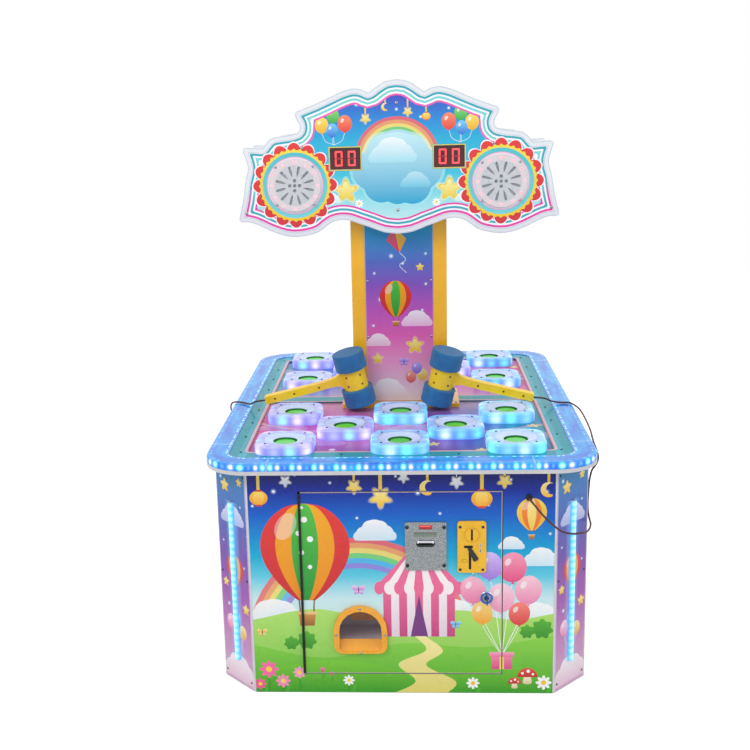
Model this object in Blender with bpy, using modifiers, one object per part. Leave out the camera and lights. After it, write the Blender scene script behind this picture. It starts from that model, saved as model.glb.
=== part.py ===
# Mole pounding arcade machine: an eight-sided cabinet with a lit deck of sixteen
# pads and moles, a column with a two-sided marquee and two soft hammers.
# Metres, +Z up, the front with the coin door faces -Y, z = 0 is the floor.

import math

import bmesh
import bpy
from mathutils import Matrix, Vector

for old in list(bpy.data.objects):
    bpy.data.objects.remove(old, do_unlink=True)

# Air left between two pieces that touch, and how far a cutter runs past a face.
GAP = 0.0003
PAST = 0.004
BITE = 0.0012

# Deck outline, and the cabinet under it, an octagon in plan.
DECK_HALF_WIDTH = 0.452
DECK_HALF_DEPTH = 0.595
DECK_CORNER = 0.105
SIDE_OVERHANG = 0.015
END_OVERHANG = 0.035
CABINET_HALF_WIDTH = DECK_HALF_WIDTH - SIDE_OVERHANG
CABINET_HALF_DEPTH = DECK_HALF_DEPTH - END_OVERHANG
CABINET_HEIGHT = 0.555
CHAMFER_WIDTH = 0.082
CHAMFER_DEPTH = 0.087
WALL = 0.015
CORNER_PANEL_THICKNESS = 0.003
LED_TUBE_RADIUS = 0.008
LED_TUBE_LOW = 0.065
LED_TUBE_FROM_TOP = 0.090
LED_TUBE_HIGH = CABINET_HEIGHT - LED_TUBE_FROM_TOP

# Front door and its hinge.
DOOR_LEFT = -0.2295
DOOR_RIGHT = 0.2315
DOOR_LOW = 0.051
DOOR_FROM_TOP = 0.0525
DOOR_HIGH = CABINET_HEIGHT - DOOR_FROM_TOP
DOOR_THICKNESS = 0.015
DOOR_PLAY = 0.002
HINGE_WELL = 0.006
HINGE_RADIUS = 0.0028
HINGE_PIN_RADIUS = 0.0012
HINGE_RUNNING = 0.0002
HINGE_PROUD = 0.0025
HINGE_LEAF = 0.0012
HINGE_LEAF_DEPTH = 0.012
HINGE_KNUCKLES = 7

# Coin acceptor on the door.
COIN_CENTRE_X = 0.1622
COIN_FROM_DOOR_TOP = 0.1328
COIN_CENTRE_Z = DOOR_HIGH - COIN_FROM_DOOR_TOP
COIN_PLATE_WIDTH = 0.0657
COIN_PLATE_HEIGHT = 0.1253
COIN_PLATE_THICKNESS = 0.005
COIN_PLATE_CORNER = 0.007
COIN_BODY_WIDTH = 0.054
COIN_BODY_HEIGHT = 0.108
COIN_BODY_DEPTH = 0.058
COIN_DIAL_ABOVE = 0.0300
COIN_DIAL_Z = COIN_CENTRE_Z + COIN_DIAL_ABOVE
COIN_DIAL_RADIUS = 0.0165
COIN_DIAL_PROUD = 0.0015
COIN_SLOT_WIDTH = 0.0046
COIN_SLOT_HEIGHT = 0.028
COIN_SLOT_DEPTH = 0.024
LEVER_FROM_CENTRE = 0.0061
LEVER_BELOW = 0.0020
LEVER_END_FROM_CENTRE = 0.0092
LEVER_END_BELOW = 0.0351
LEVER_X = COIN_CENTRE_X - LEVER_FROM_CENTRE
LEVER_Z = COIN_CENTRE_Z - LEVER_BELOW
LEVER_END_X = COIN_CENTRE_X + LEVER_END_FROM_CENTRE
LEVER_END_Z = COIN_CENTRE_Z - LEVER_END_BELOW
LEVER_HALF = 0.0026
LEVER_THICKNESS = 0.003

# Ticket counter plate on the door.
TICKET_CENTRE_X = 0.0569
TICKET_FROM_DOOR_TOP = 0.1316
TICKET_CENTRE_Z = DOOR_HIGH - TICKET_FROM_DOOR_TOP
TICKET_PLATE_WIDTH = 0.095
TICKET_PLATE_HEIGHT = 0.1176
TICKET_PLATE_THICKNESS = 0.003
TICKET_PLATE_CORNER = 0.003
TICKET_BODY_WIDTH = 0.074
TICKET_BODY_HEIGHT = 0.098
TICKET_BODY_DEPTH = 0.040
TICKET_SLOT_LEFT = 0.00045
TICKET_SLOT_ABOVE = 0.0073
TICKET_SLOT_X = TICKET_CENTRE_X - TICKET_SLOT_LEFT
TICKET_SLOT_Z = TICKET_CENTRE_Z + TICKET_SLOT_ABOVE
TICKET_SLOT_WIDTH = 0.0419
TICKET_SLOT_HEIGHT = 0.0148
TICKET_SLOT_DEPTH = 0.020

# Prize outlet on the door: an arched bezel, a scoop and a tray behind it.
OUTLET_X = -0.0977
OUTLET_HALF_WIDTH = 0.063
OUTLET_FROM_DOOR_FOOT = 0.053
OUTLET_HEIGHT = 0.1207
OUTLET_LOW = DOOR_LOW + OUTLET_FROM_DOOR_FOOT
OUTLET_HIGH = OUTLET_LOW + OUTLET_HEIGHT
OUTLET_FOOT_CORNER = 0.020
OUTLET_RING = 0.0133
OUTLET_SILL = 0.0065
OUTLET_MOUTH_LOW = OUTLET_LOW + OUTLET_SILL
OUTLET_THICKNESS = 0.008
OUTLET_SPIGOT_WALL = 0.0022
OUTLET_SCOOP_HEIGHT = 0.0279
OUTLET_SCOOP_HIGH = OUTLET_LOW + OUTLET_SCOOP_HEIGHT
TRAY_DEPTH = 0.085
TRAY_WALL = 0.002
TRAY_SIDE = 0.006

# Door lock with its key and cam.
LOCK_X = 0.196
LOCK_FROM_DOOR_TOP = 0.2587
LOCK_Z = DOOR_HIGH - LOCK_FROM_DOOR_TOP
LOCK_RADIUS = 0.015
LOCK_PROUD = 0.004
LOCK_BARREL_RADIUS = 0.0095
LOCK_BARREL_DEPTH = 0.0165
KEY_PLUG_RADIUS = 0.0060
KEY_BOW_WIDTH = 0.018
KEY_BOW_HEIGHT = 0.022
KEY_BOW_THICKNESS = 0.0022
KEY_SHANK = 0.006
CAM_LENGTH = 0.045
CAM_HALF_WIDTH = 0.007
CAM_WAIST_SHARE = 0.9
CAM_THICKNESS = 0.002

# Cord glands in the front and rear panels, between the door and the chamfer.
GLAND_SHARE = 0.4842
GLAND_X = DOOR_RIGHT + GLAND_SHARE * (CABINET_HALF_WIDTH - CHAMFER_WIDTH - DOOR_RIGHT)
GLAND_FROM_TOP = 0.0674
GLAND_Z = CABINET_HEIGHT - GLAND_FROM_TOP
GLAND_HEAD_RADIUS = 0.008
GLAND_HEAD_LENGTH = 0.006
GLAND_NECK_RADIUS = 0.0055
GLAND_NUT_RADIUS = 0.009
GLAND_NUT_LENGTH = 0.005

# Deck: board, trim and clear rim. Inner edges and joints are set in from its edge.
TRIM_ABOVE = 0.0095
TRIM_TOP = CABINET_HEIGHT + TRIM_ABOVE
TRIM_WIDTH = 0.010
RIM_ABOVE = 0.025
RIM_TOP = CABINET_HEIGHT + RIM_ABOVE
RIM_SIDE_WIDTH = 0.053
RIM_END_WIDTH = 0.056
RIM_INNER_CORNER = 0.0475
RIM_ROUNDING = 0.0045
RIM_JOINT_FROM_SIDE = 0.152
RIM_JOINT_FROM_END = 0.165
RIM_JOINT_GAP = 0.0006
SHEET_ABOVE = 0.015
SHEET_THICKNESS = 0.003
SHEET_BOTTOM = CABINET_HEIGHT + SHEET_ABOVE
SHEET_TOP = SHEET_BOTTOM + SHEET_THICKNESS
BORDER_HEIGHT = 0.004
BORDER_TOP = SHEET_TOP + BORDER_HEIGHT
BORDER_SIDE_WIDTH = 0.043
BORDER_END_WIDTH = 0.054
BORDER_INNER_CORNER = 0.010
CROSSBAR_HALF = 0.030
RIM_INNER_X = DECK_HALF_WIDTH - RIM_SIDE_WIDTH
RIM_INNER_Y = DECK_HALF_DEPTH - RIM_END_WIDTH
RIM_JOINT_X = DECK_HALF_WIDTH - RIM_JOINT_FROM_SIDE
RIM_JOINT_Y = DECK_HALF_DEPTH - RIM_JOINT_FROM_END
BORDER_INNER_X = RIM_INNER_X - BORDER_SIDE_WIDTH
BORDER_INNER_Y = RIM_INNER_Y - BORDER_END_WIDTH

# Pads and moles. Rows along Y in the front half; the rear half mirrors it. The outer
# pads are set in from the border's window, and a pad is a share of the closest pitch.
PAD_COLUMN_FROM_BORDER = 0.0852
PAD_ROW_FROM_BORDER = 0.0354
PAD_ROW_INNER_SHARE = 0.40703
PAD_ROW_MIDDLE_SHARE = 0.5075
PAD_HALF_SHARE = 0.524
PAD_CORNER_SHARE = 0.5087
DISH_SHARE = 0.6977
DISH_FLOOR_SHARE = 0.4433
MOLE_HOLE_SHARE = 0.4142
PAD_HEIGHT = 0.026
PAD_TOP = SHEET_TOP + PAD_HEIGHT
PAD_ROUNDING = 0.006
PAD_DISH_DEPTH = 0.005
PAD_CLEARANCE = 0.0006
MOLE_PLAY = 0.0007
MOLE_BELOW_PAD = 0.009
MOLE_TOP = PAD_TOP - MOLE_BELOW_PAD
MOLE_LENGTH = 0.075
MOLE_ROUNDING = 0.004
BOARD_HOLE_PLAY = 0.004
PAD_COLUMN = BORDER_INNER_X - PAD_COLUMN_FROM_BORDER
PAD_ROW_OUTER = BORDER_INNER_Y - PAD_ROW_FROM_BORDER
PAD_ROW_INNER = PAD_ROW_INNER_SHARE * PAD_ROW_OUTER
PAD_ROW_MIDDLE = PAD_ROW_INNER + PAD_ROW_MIDDLE_SHARE * (PAD_ROW_OUTER - PAD_ROW_INNER)
PAD_HALF = PAD_HALF_SHARE * min(0.5 * PAD_COLUMN, PAD_ROW_OUTER - PAD_ROW_MIDDLE)
PAD_CORNER = PAD_CORNER_SHARE * PAD_HALF
PAD_DISH_RADIUS = DISH_SHARE * PAD_HALF
PAD_DISH_FLOOR_RADIUS = DISH_FLOOR_SHARE * PAD_HALF
MOLE_HOLE_RADIUS = MOLE_HOLE_SHARE * PAD_HALF
MOLE_RADIUS = MOLE_HOLE_RADIUS - MOLE_PLAY
BOARD_HOLE_RADIUS = MOLE_HOLE_RADIUS + BOARD_HOLE_PLAY

# Column and its printed panels.
COLUMN_HALF_WIDTH = 0.125
COLUMN_HALF_DEPTH = 0.050
COLUMN_ABOVE = 0.545
COLUMN_TOP = CABINET_HEIGHT + COLUMN_ABOVE
COLUMN_WALL = 0.004
COLUMN_RECESS = 0.0023
FLANGE_HALF_WIDTH = 0.156
FLANGE_HALF_DEPTH = 0.085
FLANGE_HEIGHT = 0.010
FLANGE_TOP = SHEET_TOP + FLANGE_HEIGHT
FLANGE_CORNER = 0.006
COLUMN_PANEL_HALF = 0.0895
COLUMN_PANEL_THICKNESS = 0.0018
COLUMN_PANEL_PLAY = 0.0005

# Marquee: a core box between two boards of one outline.
BOARD_FACE = 0.108
BOARD_THICKNESS = 0.015
CORE_HALF_WIDTH = 0.170
CORE_HEIGHT = 0.250
CORE_TOP = COLUMN_TOP + CORE_HEIGHT
CORE_WALL = 0.003
# Half outline of a board (x, height over the column's top), in runs that meet at corners.
MARQUEE_RUNS = [
    [(0.0, 0.3225), (0.025, 0.319), (0.046, 0.308), (0.062, 0.2965), (0.070, 0.292)],
    [(0.070, 0.292), (0.088, 0.3005), (0.110, 0.303), (0.138, 0.2955), (0.165, 0.284),
     (0.205, 0.267), (0.240, 0.2545), (0.254, 0.2477), (0.2525, 0.234), (0.2445, 0.219),
     (0.2435, 0.2085), (0.250, 0.1985), (0.275, 0.1925), (0.312, 0.188), (0.328, 0.176),
     (0.340, 0.161)],
    [(0.340, 0.161), (0.362, 0.1635), (0.3876, 0.164), (0.3905, 0.156), (0.384, 0.136),
     (0.3793, 0.117), (0.3815, 0.099), (0.387, 0.081), (0.391, 0.057), (0.395, 0.033),
     (0.402, 0.005), (0.407, -0.0164), (0.403, -0.0235), (0.385, -0.0235), (0.365, -0.029),
     (0.342, -0.04), (0.318, -0.051), (0.288, -0.061), (0.260, -0.064), (0.230, -0.0605),
     (0.202, -0.052), (0.183, -0.038), (0.166, -0.0273), (0.144, -0.0225), (0.1215, -0.025),
     (0.098, -0.0335), (0.072, -0.0425), (0.036, -0.056), (0.0, -0.0605)],
]
SPEAKER_X = 0.2604
SPEAKER_ABOVE = 0.067
SPEAKER_Z = COLUMN_TOP + SPEAKER_ABOVE
SPEAKER_RING_RADIUS = 0.0675
SPEAKER_RING_THICKNESS = 0.008
SPEAKER_CAN_RADIUS = 0.056
SPEAKER_CAN_DEPTH = 0.055
SPEAKER_CAVITY_RADIUS = 0.052
SPEAKER_GRILLE_THICKNESS = 0.003
SPEAKER_HOLE_RADIUS = 0.0045
SPEAKER_HOLE_PITCH = 0.0125
SPEAKER_SLOT_INNER = 0.022
SPEAKER_SLOT_OUTER = 0.047
SPEAKER_SLOT_HALF = 0.0032
SPEAKER_SLOTS = 12
DISPLAY_INNER_X = 0.092
DISPLAY_OUTER_X = 0.170
DISPLAY_ABOVE = 0.104
DISPLAY_HEIGHT = 0.055
DISPLAY_LOW = COLUMN_TOP + DISPLAY_ABOVE
DISPLAY_HIGH = DISPLAY_LOW + DISPLAY_HEIGHT
DISPLAY_DEPTH = 0.003

# Hammers: each head stands on the flange's edge and lets its handle down to a pad.
# Distances out from the middle, angles in radians.
HEAD_RADIUS = 0.0418
HEAD_LENGTH = 0.1475
HEAD_ROUNDING = 0.003
CLAMP_RADIUS = 0.032
CLAMP_WALL = 0.003
CLAMP_HEIGHT = 0.0528
CLAMP_GAP = 0.0003
HANDLE_REACH = 0.2435
HANDLE_THICKNESS = 0.020
# Along the handle: distance from the head's middle, reach over and under its axis.
HANDLE_OUTLINE = [(0.0300, 0.0255, 0.0240), (0.0350, 0.0215, 0.0165), (0.0400, 0.0185, 0.0120),
                  (0.0500, 0.0143, 0.0092), (0.0620, 0.0124, 0.0086), (0.0800, 0.0108, 0.0090),
                  (0.1100, 0.0104, 0.0100), (0.1800, 0.0104, 0.0104), (0.2405, 0.0104, 0.0104),
                  (0.2435, 0.0088, 0.0088)]
HAMMER_TILT = 0.23
HAMMER_LEAN = -0.105
HAMMER_YAW = -0.05
HAMMER_RIGHT_X = 0.11
HAMMER_LEFT_X = -0.1216
HAMMER_Y = -0.1055
HAMMER_ABOVE = 0.107
HAMMER_Z = CABINET_HEIGHT + HAMMER_ABOVE

# Cords, from a hammer's handle end to a gland. Points over the deck: share of the way
# out to the deck's edge, distance behind the handle's end, height. Beside the cabinet:
# distance out from the deck's edge, share of the way to the end panel, height. Before
# the panel: share of the way from the gland to the cabinet's side, distance out, height.
# Heights are over the cabinet's top.
CORD_RADIUS = 0.0023
CORD_SLACK = 0.0006
RIGHT_OVER = [(0.2677, -0.0061, 0.0485), (0.5055, 0.0199, 0.033), (0.7432, 0.0239, 0.0285)]
RIGHT_BESIDE = [(-0.006, -0.04, 0.0288), (0.0105, 0.0626, 0.025), (0.0155, 0.2077, 0.0185),
                (0.016, 0.3974, 0.0115), (0.0115, 0.5715, 0.0055), (0.0115, 0.692, -0.002),
                (0.0105, 0.75, -0.012), (0.004, 0.7679, -0.025), (-0.005, 0.7768, -0.036),
                (-0.01, 0.7835, -0.054), (-0.0117, 0.7835, -0.071), (-0.012, 0.7724, -0.095),
                (-0.012, 0.7612, -0.12), (-0.0112, 0.7701, -0.142), (-0.0098, 0.8081, -0.155),
                (-0.0112, 0.8594, -0.1555)]
RIGHT_PANEL = [(0.9725, -0.03, -0.155), (0.8833, 0.002, -0.151), (0.7872, 0.019, -0.146),
               (0.65, 0.025, -0.1455), (0.4647, 0.027, -0.137), (0.2176, 0.027, -0.104),
               (0.0734, 0.022, -0.079), (0.0082, 0.014, -0.069)]
LEFT_OVER = [(0.2838, -0.0081, 0.048), (0.4869, 0.0299, 0.032), (0.7114, 0.0569, 0.0285)]
LEFT_BESIDE = [(-0.006, 0.0981, 0.0288), (0.007, 0.1041, 0.025), (0.0125, 0.1115, 0.015),
               (0.013, 0.1234, 0.0), (0.011, 0.1457, -0.018), (0.007, 0.1815, -0.039),
               (0.0, 0.238, -0.066), (-0.006, 0.308, -0.091), (-0.01, 0.3898, -0.113),
               (-0.0115, 0.4791, -0.13), (-0.012, 0.5833, -0.143), (-0.012, 0.6875, -0.151),
               (-0.0118, 0.7916, -0.155), (-0.0098, 0.8616, -0.156), (-0.0115, 0.9107, -0.1555)]
LEFT_PANEL = [(0.9657, -0.027, -0.154), (0.8765, 0.002, -0.151), (0.7529, 0.021, -0.147),
              (0.6088, 0.028, -0.142), (0.4372, 0.029, -0.131), (0.2176, 0.027, -0.104),
              (0.0734, 0.022, -0.079), (0.0082, 0.014, -0.069)]

# Sides of round shapes.
FINE = 24
ROUND = 20
COARSE = 12
SMALL = 8
CORNER_STEPS = 5


def collection(name):
    made = bpy.data.collections.new(name)
    bpy.context.scene.collection.children.link(made)
    return made


MACHINE = collection("mole_pounding_arcade_machine")
CUTTERS = collection("cutters")


def material(name, colour, roughness, metallic=0.0):
    made = bpy.data.materials.new(name)
    made.use_nodes = True
    shader = made.node_tree.nodes["Principled BSDF"]
    shader.inputs["Base Color"].default_value = (*colour, 1.0)
    shader.inputs["Roughness"].default_value = roughness
    shader.inputs["Metallic"].default_value = metallic
    made.diffuse_color = (*colour, 1.0)
    return made


def circle(radius, count, x=0.0, y=0.0):
    points = []
    for index in range(count):
        angle = 2.0 * math.pi * index / count
        points.append((x + radius * math.cos(angle), y + radius * math.sin(angle)))
    return points


def rounded(half_x, half_y, corner, steps, x=0.0, y=0.0):
    # A rectangle with round corners, anticlockwise.
    points = []
    for turn, (sx, sy) in enumerate(((1, 1), (-1, 1), (-1, -1), (1, -1))):
        for step in range(steps):
            angle = 0.5 * math.pi * (turn + step / (steps - 1))
            points.append((x + sx * (half_x - corner) + corner * math.cos(angle),
                           y + sy * (half_y - corner) + corner * math.sin(angle)))
    return points


def rectangle(left, right, low, high):
    return [(left, low), (right, low), (right, high), (left, high)]


def smooth(points, per_span):
    # A smooth curve through the points (Catmull-Rom), per_span steps for each span.
    vectors = [Vector(point) for point in points]
    before = vectors[0] * 2.0 - vectors[1]
    after = vectors[-1] * 2.0 - vectors[-2]
    padded = [before] + vectors + [after]
    curve = []
    for index in range(1, len(padded) - 2):
        a, b, c, d = padded[index - 1:index + 3]
        for step in range(per_span):
            t = step / per_span
            curve.append(0.5 * ((2.0 * b) + (c - a) * t + (2.0 * a - 5.0 * b + 4.0 * c - d) * t * t
                                + (3.0 * b - a - 3.0 * c + d) * t * t * t))
    curve.append(vectors[-1])
    return curve


def thin(points, slack):
    # The same line without the points that lie closer than slack to its chords.
    chord = (points[-1] - points[0]).normalized()
    aside = [(point - points[0]).cross(chord).length for point in points]
    widest = aside.index(max(aside))
    if aside[widest] < slack:
        return [points[0], points[-1]]
    return thin(points[:widest + 1], slack) + thin(points[widest:], slack)[1:]


def add(name, mesh, look=None):
    made = bpy.data.objects.new(name, mesh)
    if look is None:
        CUTTERS.objects.link(made)
        made.hide_render = True
        made.display_type = "WIRE"
    else:
        MACHINE.objects.link(made)
        mesh.materials.clear()
        mesh.materials.append(look)
    return made


def finished(bm, name, look=None):
    bmesh.ops.recalc_face_normals(bm, faces=bm.faces)
    mesh = bpy.data.meshes.new(name)
    bm.to_mesh(mesh)
    bm.free()
    return add(name, mesh, look)


def flat(name, loops, low, high, look=None):
    # A flat outline with holes in the XY plane, low to high along Z.
    drawing = bpy.data.curves.new(name + "_outline", "CURVE")
    drawing.dimensions = "2D"
    drawing.fill_mode = "BOTH"
    drawing.extrude = 0.5 * (high - low)
    for loop in loops:
        spline = drawing.splines.new("POLY")
        spline.points.add(len(loop) - 1)
        for point, place in zip(spline.points, loop):
            point.co = (place[0], place[1], 0.0, 1.0)
        spline.use_cyclic_u = True
    holder = bpy.data.objects.new(name + "_outline", drawing)
    bpy.context.scene.collection.objects.link(holder)
    bpy.context.view_layer.update()
    graph = bpy.context.evaluated_depsgraph_get()
    mesh = bpy.data.meshes.new_from_object(holder.evaluated_get(graph))
    bpy.data.objects.remove(holder, do_unlink=True)
    bm = bmesh.new()
    bm.from_mesh(mesh)
    bpy.data.meshes.remove(mesh)
    bmesh.ops.remove_doubles(bm, verts=bm.verts, dist=GAP * 0.1)
    bmesh.ops.translate(bm, verts=bm.verts, vec=(0.0, 0.0, 0.5 * (low + high)))
    return finished(bm, name, look)


def turn_mesh(piece, matrix):
    piece.data.transform(matrix)
    return piece


def upright(name, loops, front, back, look=None):
    # A flat outline (x, z) standing up, front to back along Y.
    piece = flat(name, loops, -back, -front, look)
    return turn_mesh(piece, Matrix.Rotation(0.5 * math.pi, 4, "X"))


def box(name, low, high, look=None):
    bm = bmesh.new()
    bmesh.ops.create_cube(bm, size=1.0)
    size = [b - a for a, b in zip(low, high)]
    middle = [0.5 * (a + b) for a, b in zip(low, high)]
    bmesh.ops.scale(bm, verts=bm.verts, vec=size)
    bmesh.ops.translate(bm, verts=bm.verts, vec=middle)
    return finished(bm, name, look)


def cones(name, places, low, high, low_radius, high_radius, count, look=None):
    # One cone or cylinder at each (x, y), low to high along Z.
    bm = bmesh.new()
    for x, y in places:
        shift = Matrix.Translation((x, y, 0.5 * (low + high)))
        bmesh.ops.create_cone(bm, cap_ends=True, segments=count, radius1=low_radius,
                              radius2=high_radius, depth=high - low, matrix=shift)
    return finished(bm, name, look)


def rods(name, places, front, back, radius, count, look=None):
    # One cylinder along Y at each (x, z).
    piece = cones(name, places, -back, -front, radius, radius, count, look)
    return turn_mesh(piece, Matrix.Rotation(0.5 * math.pi, 4, "X"))


def turned(name, profile, count, look=None):
    # A solid of revolution about Z: (radius, height) from the top down its outside.
    mesh = bpy.data.meshes.new(name)
    mesh.from_pydata([(r, 0.0, h) for r, h in profile],
                     [(i, i + 1) for i in range(len(profile) - 1)], [])
    piece = add(name, mesh, look)
    screw = piece.modifiers.new("turn", "SCREW")
    screw.steps = count
    screw.render_steps = count
    screw.use_merge_vertices = True
    screw.merge_threshold = 0.00001
    return piece


def facing_front(piece, x, y, z):
    # Turns a shape made about Z so that its top faces the front.
    piece.rotation_euler = (0.5 * math.pi, 0.0, 0.0)
    piece.location = (x, y, z)
    return piece


def facing_rear(piece, x, y, z):
    piece.rotation_euler = (-0.5 * math.pi, 0.0, 0.0)
    piece.location = (x, y, z)
    return piece


def combine(piece, other, operation):
    modifier = piece.modifiers.new(operation.lower(), "BOOLEAN")
    modifier.operation = operation
    modifier.solver = "EXACT"
    modifier.object = other
    return piece


def cut(piece, other):
    return combine(piece, other, "DIFFERENCE")


def join(piece, other):
    return combine(piece, other, "UNION")


def common(piece, other):
    return combine(piece, other, "INTERSECT")


def rounding(piece, width, segments, chosen):
    # Rounds the edges whose two ends are both chosen.
    bm = bmesh.new()
    bm.from_mesh(piece.data)
    edges = [edge for edge in bm.edges
             if all(chosen(vert.co) for vert in edge.verts)
             and len(edge.link_faces) == 2
             and edge.calc_face_angle(0.0) > math.radians(50.0)]
    bmesh.ops.bevel(bm, geom=edges, offset=width, segments=segments, profile=0.5,
                    affect="EDGES", clamp_overlap=True)
    bm.to_mesh(piece.data)
    bm.free()
    return piece


def origin_at(piece, point):
    # Moves a piece's origin to a point and leaves its shape where it is.
    shift = Vector(point) - piece.location
    piece.data.transform(Matrix.Translation(-shift))
    piece.location = Vector(point)
    return piece


def holder(name, place):
    made = bpy.data.objects.new(name, None)
    MACHINE.objects.link(made)
    made.location = place
    made.empty_display_size = 0.05
    return made


def hang_on(parent, pieces):
    for piece in pieces:
        piece.parent = parent
        piece.matrix_parent_inverse = Matrix.Translation(-Vector(parent.location))


PRINT = material("printed_panel", (0.10, 0.45, 0.80), 0.30)
CORNER_PRINT = material("corner_print", (0.42, 0.36, 0.70), 0.30)
BLACK = material("black_metal", (0.02, 0.02, 0.02), 0.40, 0.3)
STEEL = material("steel", (0.62, 0.62, 0.64), 0.30, 1.0)
GREY_PLATE = material("hammered_plate", (0.45, 0.46, 0.48), 0.45, 0.8)
COIN_YELLOW = material("coin_plate_yellow", (0.90, 0.62, 0.05), 0.30)
ORANGE = material("outlet_orange", (0.93, 0.55, 0.04), 0.35)
TRAY_MAUVE = material("tray_mauve", (0.45, 0.40, 0.45), 0.50)
RUBBER = material("black_rubber", (0.02, 0.02, 0.02), 0.70)
WOOD = material("board_wood", (0.45, 0.34, 0.22), 0.60)
TRIM_GREY = material("pale_trim", (0.75, 0.75, 0.78), 0.35)
CLEAR_BLUE = material("clear_rim", (0.20, 0.50, 0.90), 0.15)
TEAL = material("teal_border", (0.05, 0.40, 0.48), 0.30)
FIELD = material("playfield", (0.55, 0.35, 0.65), 0.20)
GREEN = material("mole_green", (0.08, 0.65, 0.08), 0.35)
AMBER = material("column_amber", (0.93, 0.62, 0.08), 0.35)
COLUMN_PRINT = material("column_print", (0.80, 0.45, 0.70), 0.30)
ACRYLIC = material("marquee_acrylic", (0.55, 0.70, 0.90), 0.25)
GREY_PLASTIC = material("grey_plastic", (0.60, 0.62, 0.66), 0.40)
FOAM_BLUE = material("foam_blue", (0.04, 0.24, 0.55), 0.70)
HANDLE_YELLOW = material("handle_yellow", (0.95, 0.72, 0.03), 0.40)

FRONT = -CABINET_HALF_DEPTH
REAR = CABINET_HALF_DEPTH


# Cabinet shell: the four walls, four bare chamfers and a floor.
def octagon(inset, panel):
    # Plan of the cabinet; panel is what the chamfers are set in by.
    half_width = CABINET_HALF_WIDTH - inset
    half_depth = CABINET_HALF_DEPTH - inset
    slope = math.hypot(CHAMFER_WIDTH, CHAMFER_DEPTH)
    flat_x = CABINET_HALF_WIDTH - CHAMFER_WIDTH - (panel + inset) * slope / CHAMFER_DEPTH
    flat_x = flat_x + inset * CHAMFER_WIDTH / CHAMFER_DEPTH
    flat_y = CABINET_HALF_DEPTH - CHAMFER_DEPTH - (panel + inset) * slope / CHAMFER_WIDTH
    flat_y = flat_y + inset * CHAMFER_DEPTH / CHAMFER_WIDTH
    return [(flat_x, -half_depth), (half_width, -flat_y), (half_width, flat_y),
            (flat_x, half_depth), (-flat_x, half_depth), (-half_width, flat_y),
            (-half_width, -flat_y), (-flat_x, -half_depth)]


shell_top = CABINET_HEIGHT - GAP
panel_bed = CORNER_PANEL_THICKNESS + GAP
cabinet_shell = flat("cabinet_shell", [octagon(0.0, panel_bed)], 0.0, shell_top, PRINT)
cut(cabinet_shell, flat("cabinet_inside", [octagon(WALL, panel_bed)], WALL, shell_top + PAST))
opening_left = DOOR_LEFT - HINGE_WELL
opening_right = DOOR_RIGHT + DOOR_PLAY
opening_low = DOOR_LOW - DOOR_PLAY
opening_high = DOOR_HIGH + DOOR_PLAY
cut(cabinet_shell, box("door_opening", (opening_left, FRONT - PAST, opening_low),
                       (opening_right, FRONT + WALL + PAST, opening_high)))
gland_hole = GLAND_NECK_RADIUS + GAP
cut(cabinet_shell, rods("front_gland_hole", [(GLAND_X, GLAND_Z)], FRONT - PAST,
                        FRONT + WALL + PAST, gland_hole, COARSE))
cut(cabinet_shell, rods("rear_gland_hole", [(-GLAND_X, GLAND_Z)], REAR - WALL - PAST,
                        REAR + PAST, gland_hole, COARSE))


# Corner panels: printed plates on the chamfers, each with its lit tube.
def corner_panel(name, sx, sy):
    slope = math.hypot(CHAMFER_WIDTH, CHAMFER_DEPTH)
    flat_x = CABINET_HALF_WIDTH - CHAMFER_WIDTH
    flat_y = CABINET_HALF_DEPTH - CHAMFER_DEPTH
    in_x = CORNER_PANEL_THICKNESS * slope / CHAMFER_DEPTH
    in_y = CORNER_PANEL_THICKNESS * slope / CHAMFER_WIDTH
    outline = [(sx * flat_x, sy * CABINET_HALF_DEPTH),
               (sx * CABINET_HALF_WIDTH, sy * flat_y),
               (sx * CABINET_HALF_WIDTH, sy * (flat_y - in_y)),
               (sx * (flat_x - in_x), sy * CABINET_HALF_DEPTH)]
    plate = flat(name, [outline], BITE, shell_top, CORNER_PRINT)
    middle_x = sx * (CABINET_HALF_WIDTH - 0.5 * CHAMFER_WIDTH)
    middle_y = sy * (CABINET_HALF_DEPTH - 0.5 * CHAMFER_DEPTH)
    tube = cones(name + "_tube", [(middle_x, middle_y)], LED_TUBE_LOW, LED_TUBE_HIGH,
                 LED_TUBE_RADIUS, LED_TUBE_RADIUS, COARSE)
    # The tube's inner half is trimmed back to the plate.
    inner = CORNER_PANEL_THICKNESS * 0.5
    away_x = sx * CHAMFER_DEPTH / slope
    away_y = sy * CHAMFER_WIDTH / slope
    along_x = -away_y
    along_y = away_x
    back = LED_TUBE_RADIUS * 2.0
    base_x = middle_x - away_x * inner
    base_y = middle_y - away_y * inner
    trim = [(base_x + along_x * back, base_y + along_y * back),
            (base_x - along_x * back, base_y - along_y * back),
            (base_x - (along_x + away_x) * back, base_y - (along_y + away_y) * back),
            (base_x + (along_x - away_x) * back, base_y + (along_y - away_y) * back)]
    cut(tube, flat(name + "_tube_back", [trim], LED_TUBE_LOW - PAST, LED_TUBE_HIGH + PAST))
    join(plate, tube)
    return origin_at(plate, (middle_x, middle_y, 0.0))


corner_panel("corner_panel_front_left", -1, -1)
corner_panel("corner_panel_front_right", 1, -1)
corner_panel("corner_panel_rear_left", -1, 1)
corner_panel("corner_panel_rear_right", 1, 1)

# Door: a board with openings for what is fixed on it.
door_back = FRONT + DOOR_THICKNESS
hinge_x = DOOR_LEFT - 0.5 * HINGE_WELL
hinge_y = FRONT - HINGE_PROUD


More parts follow.
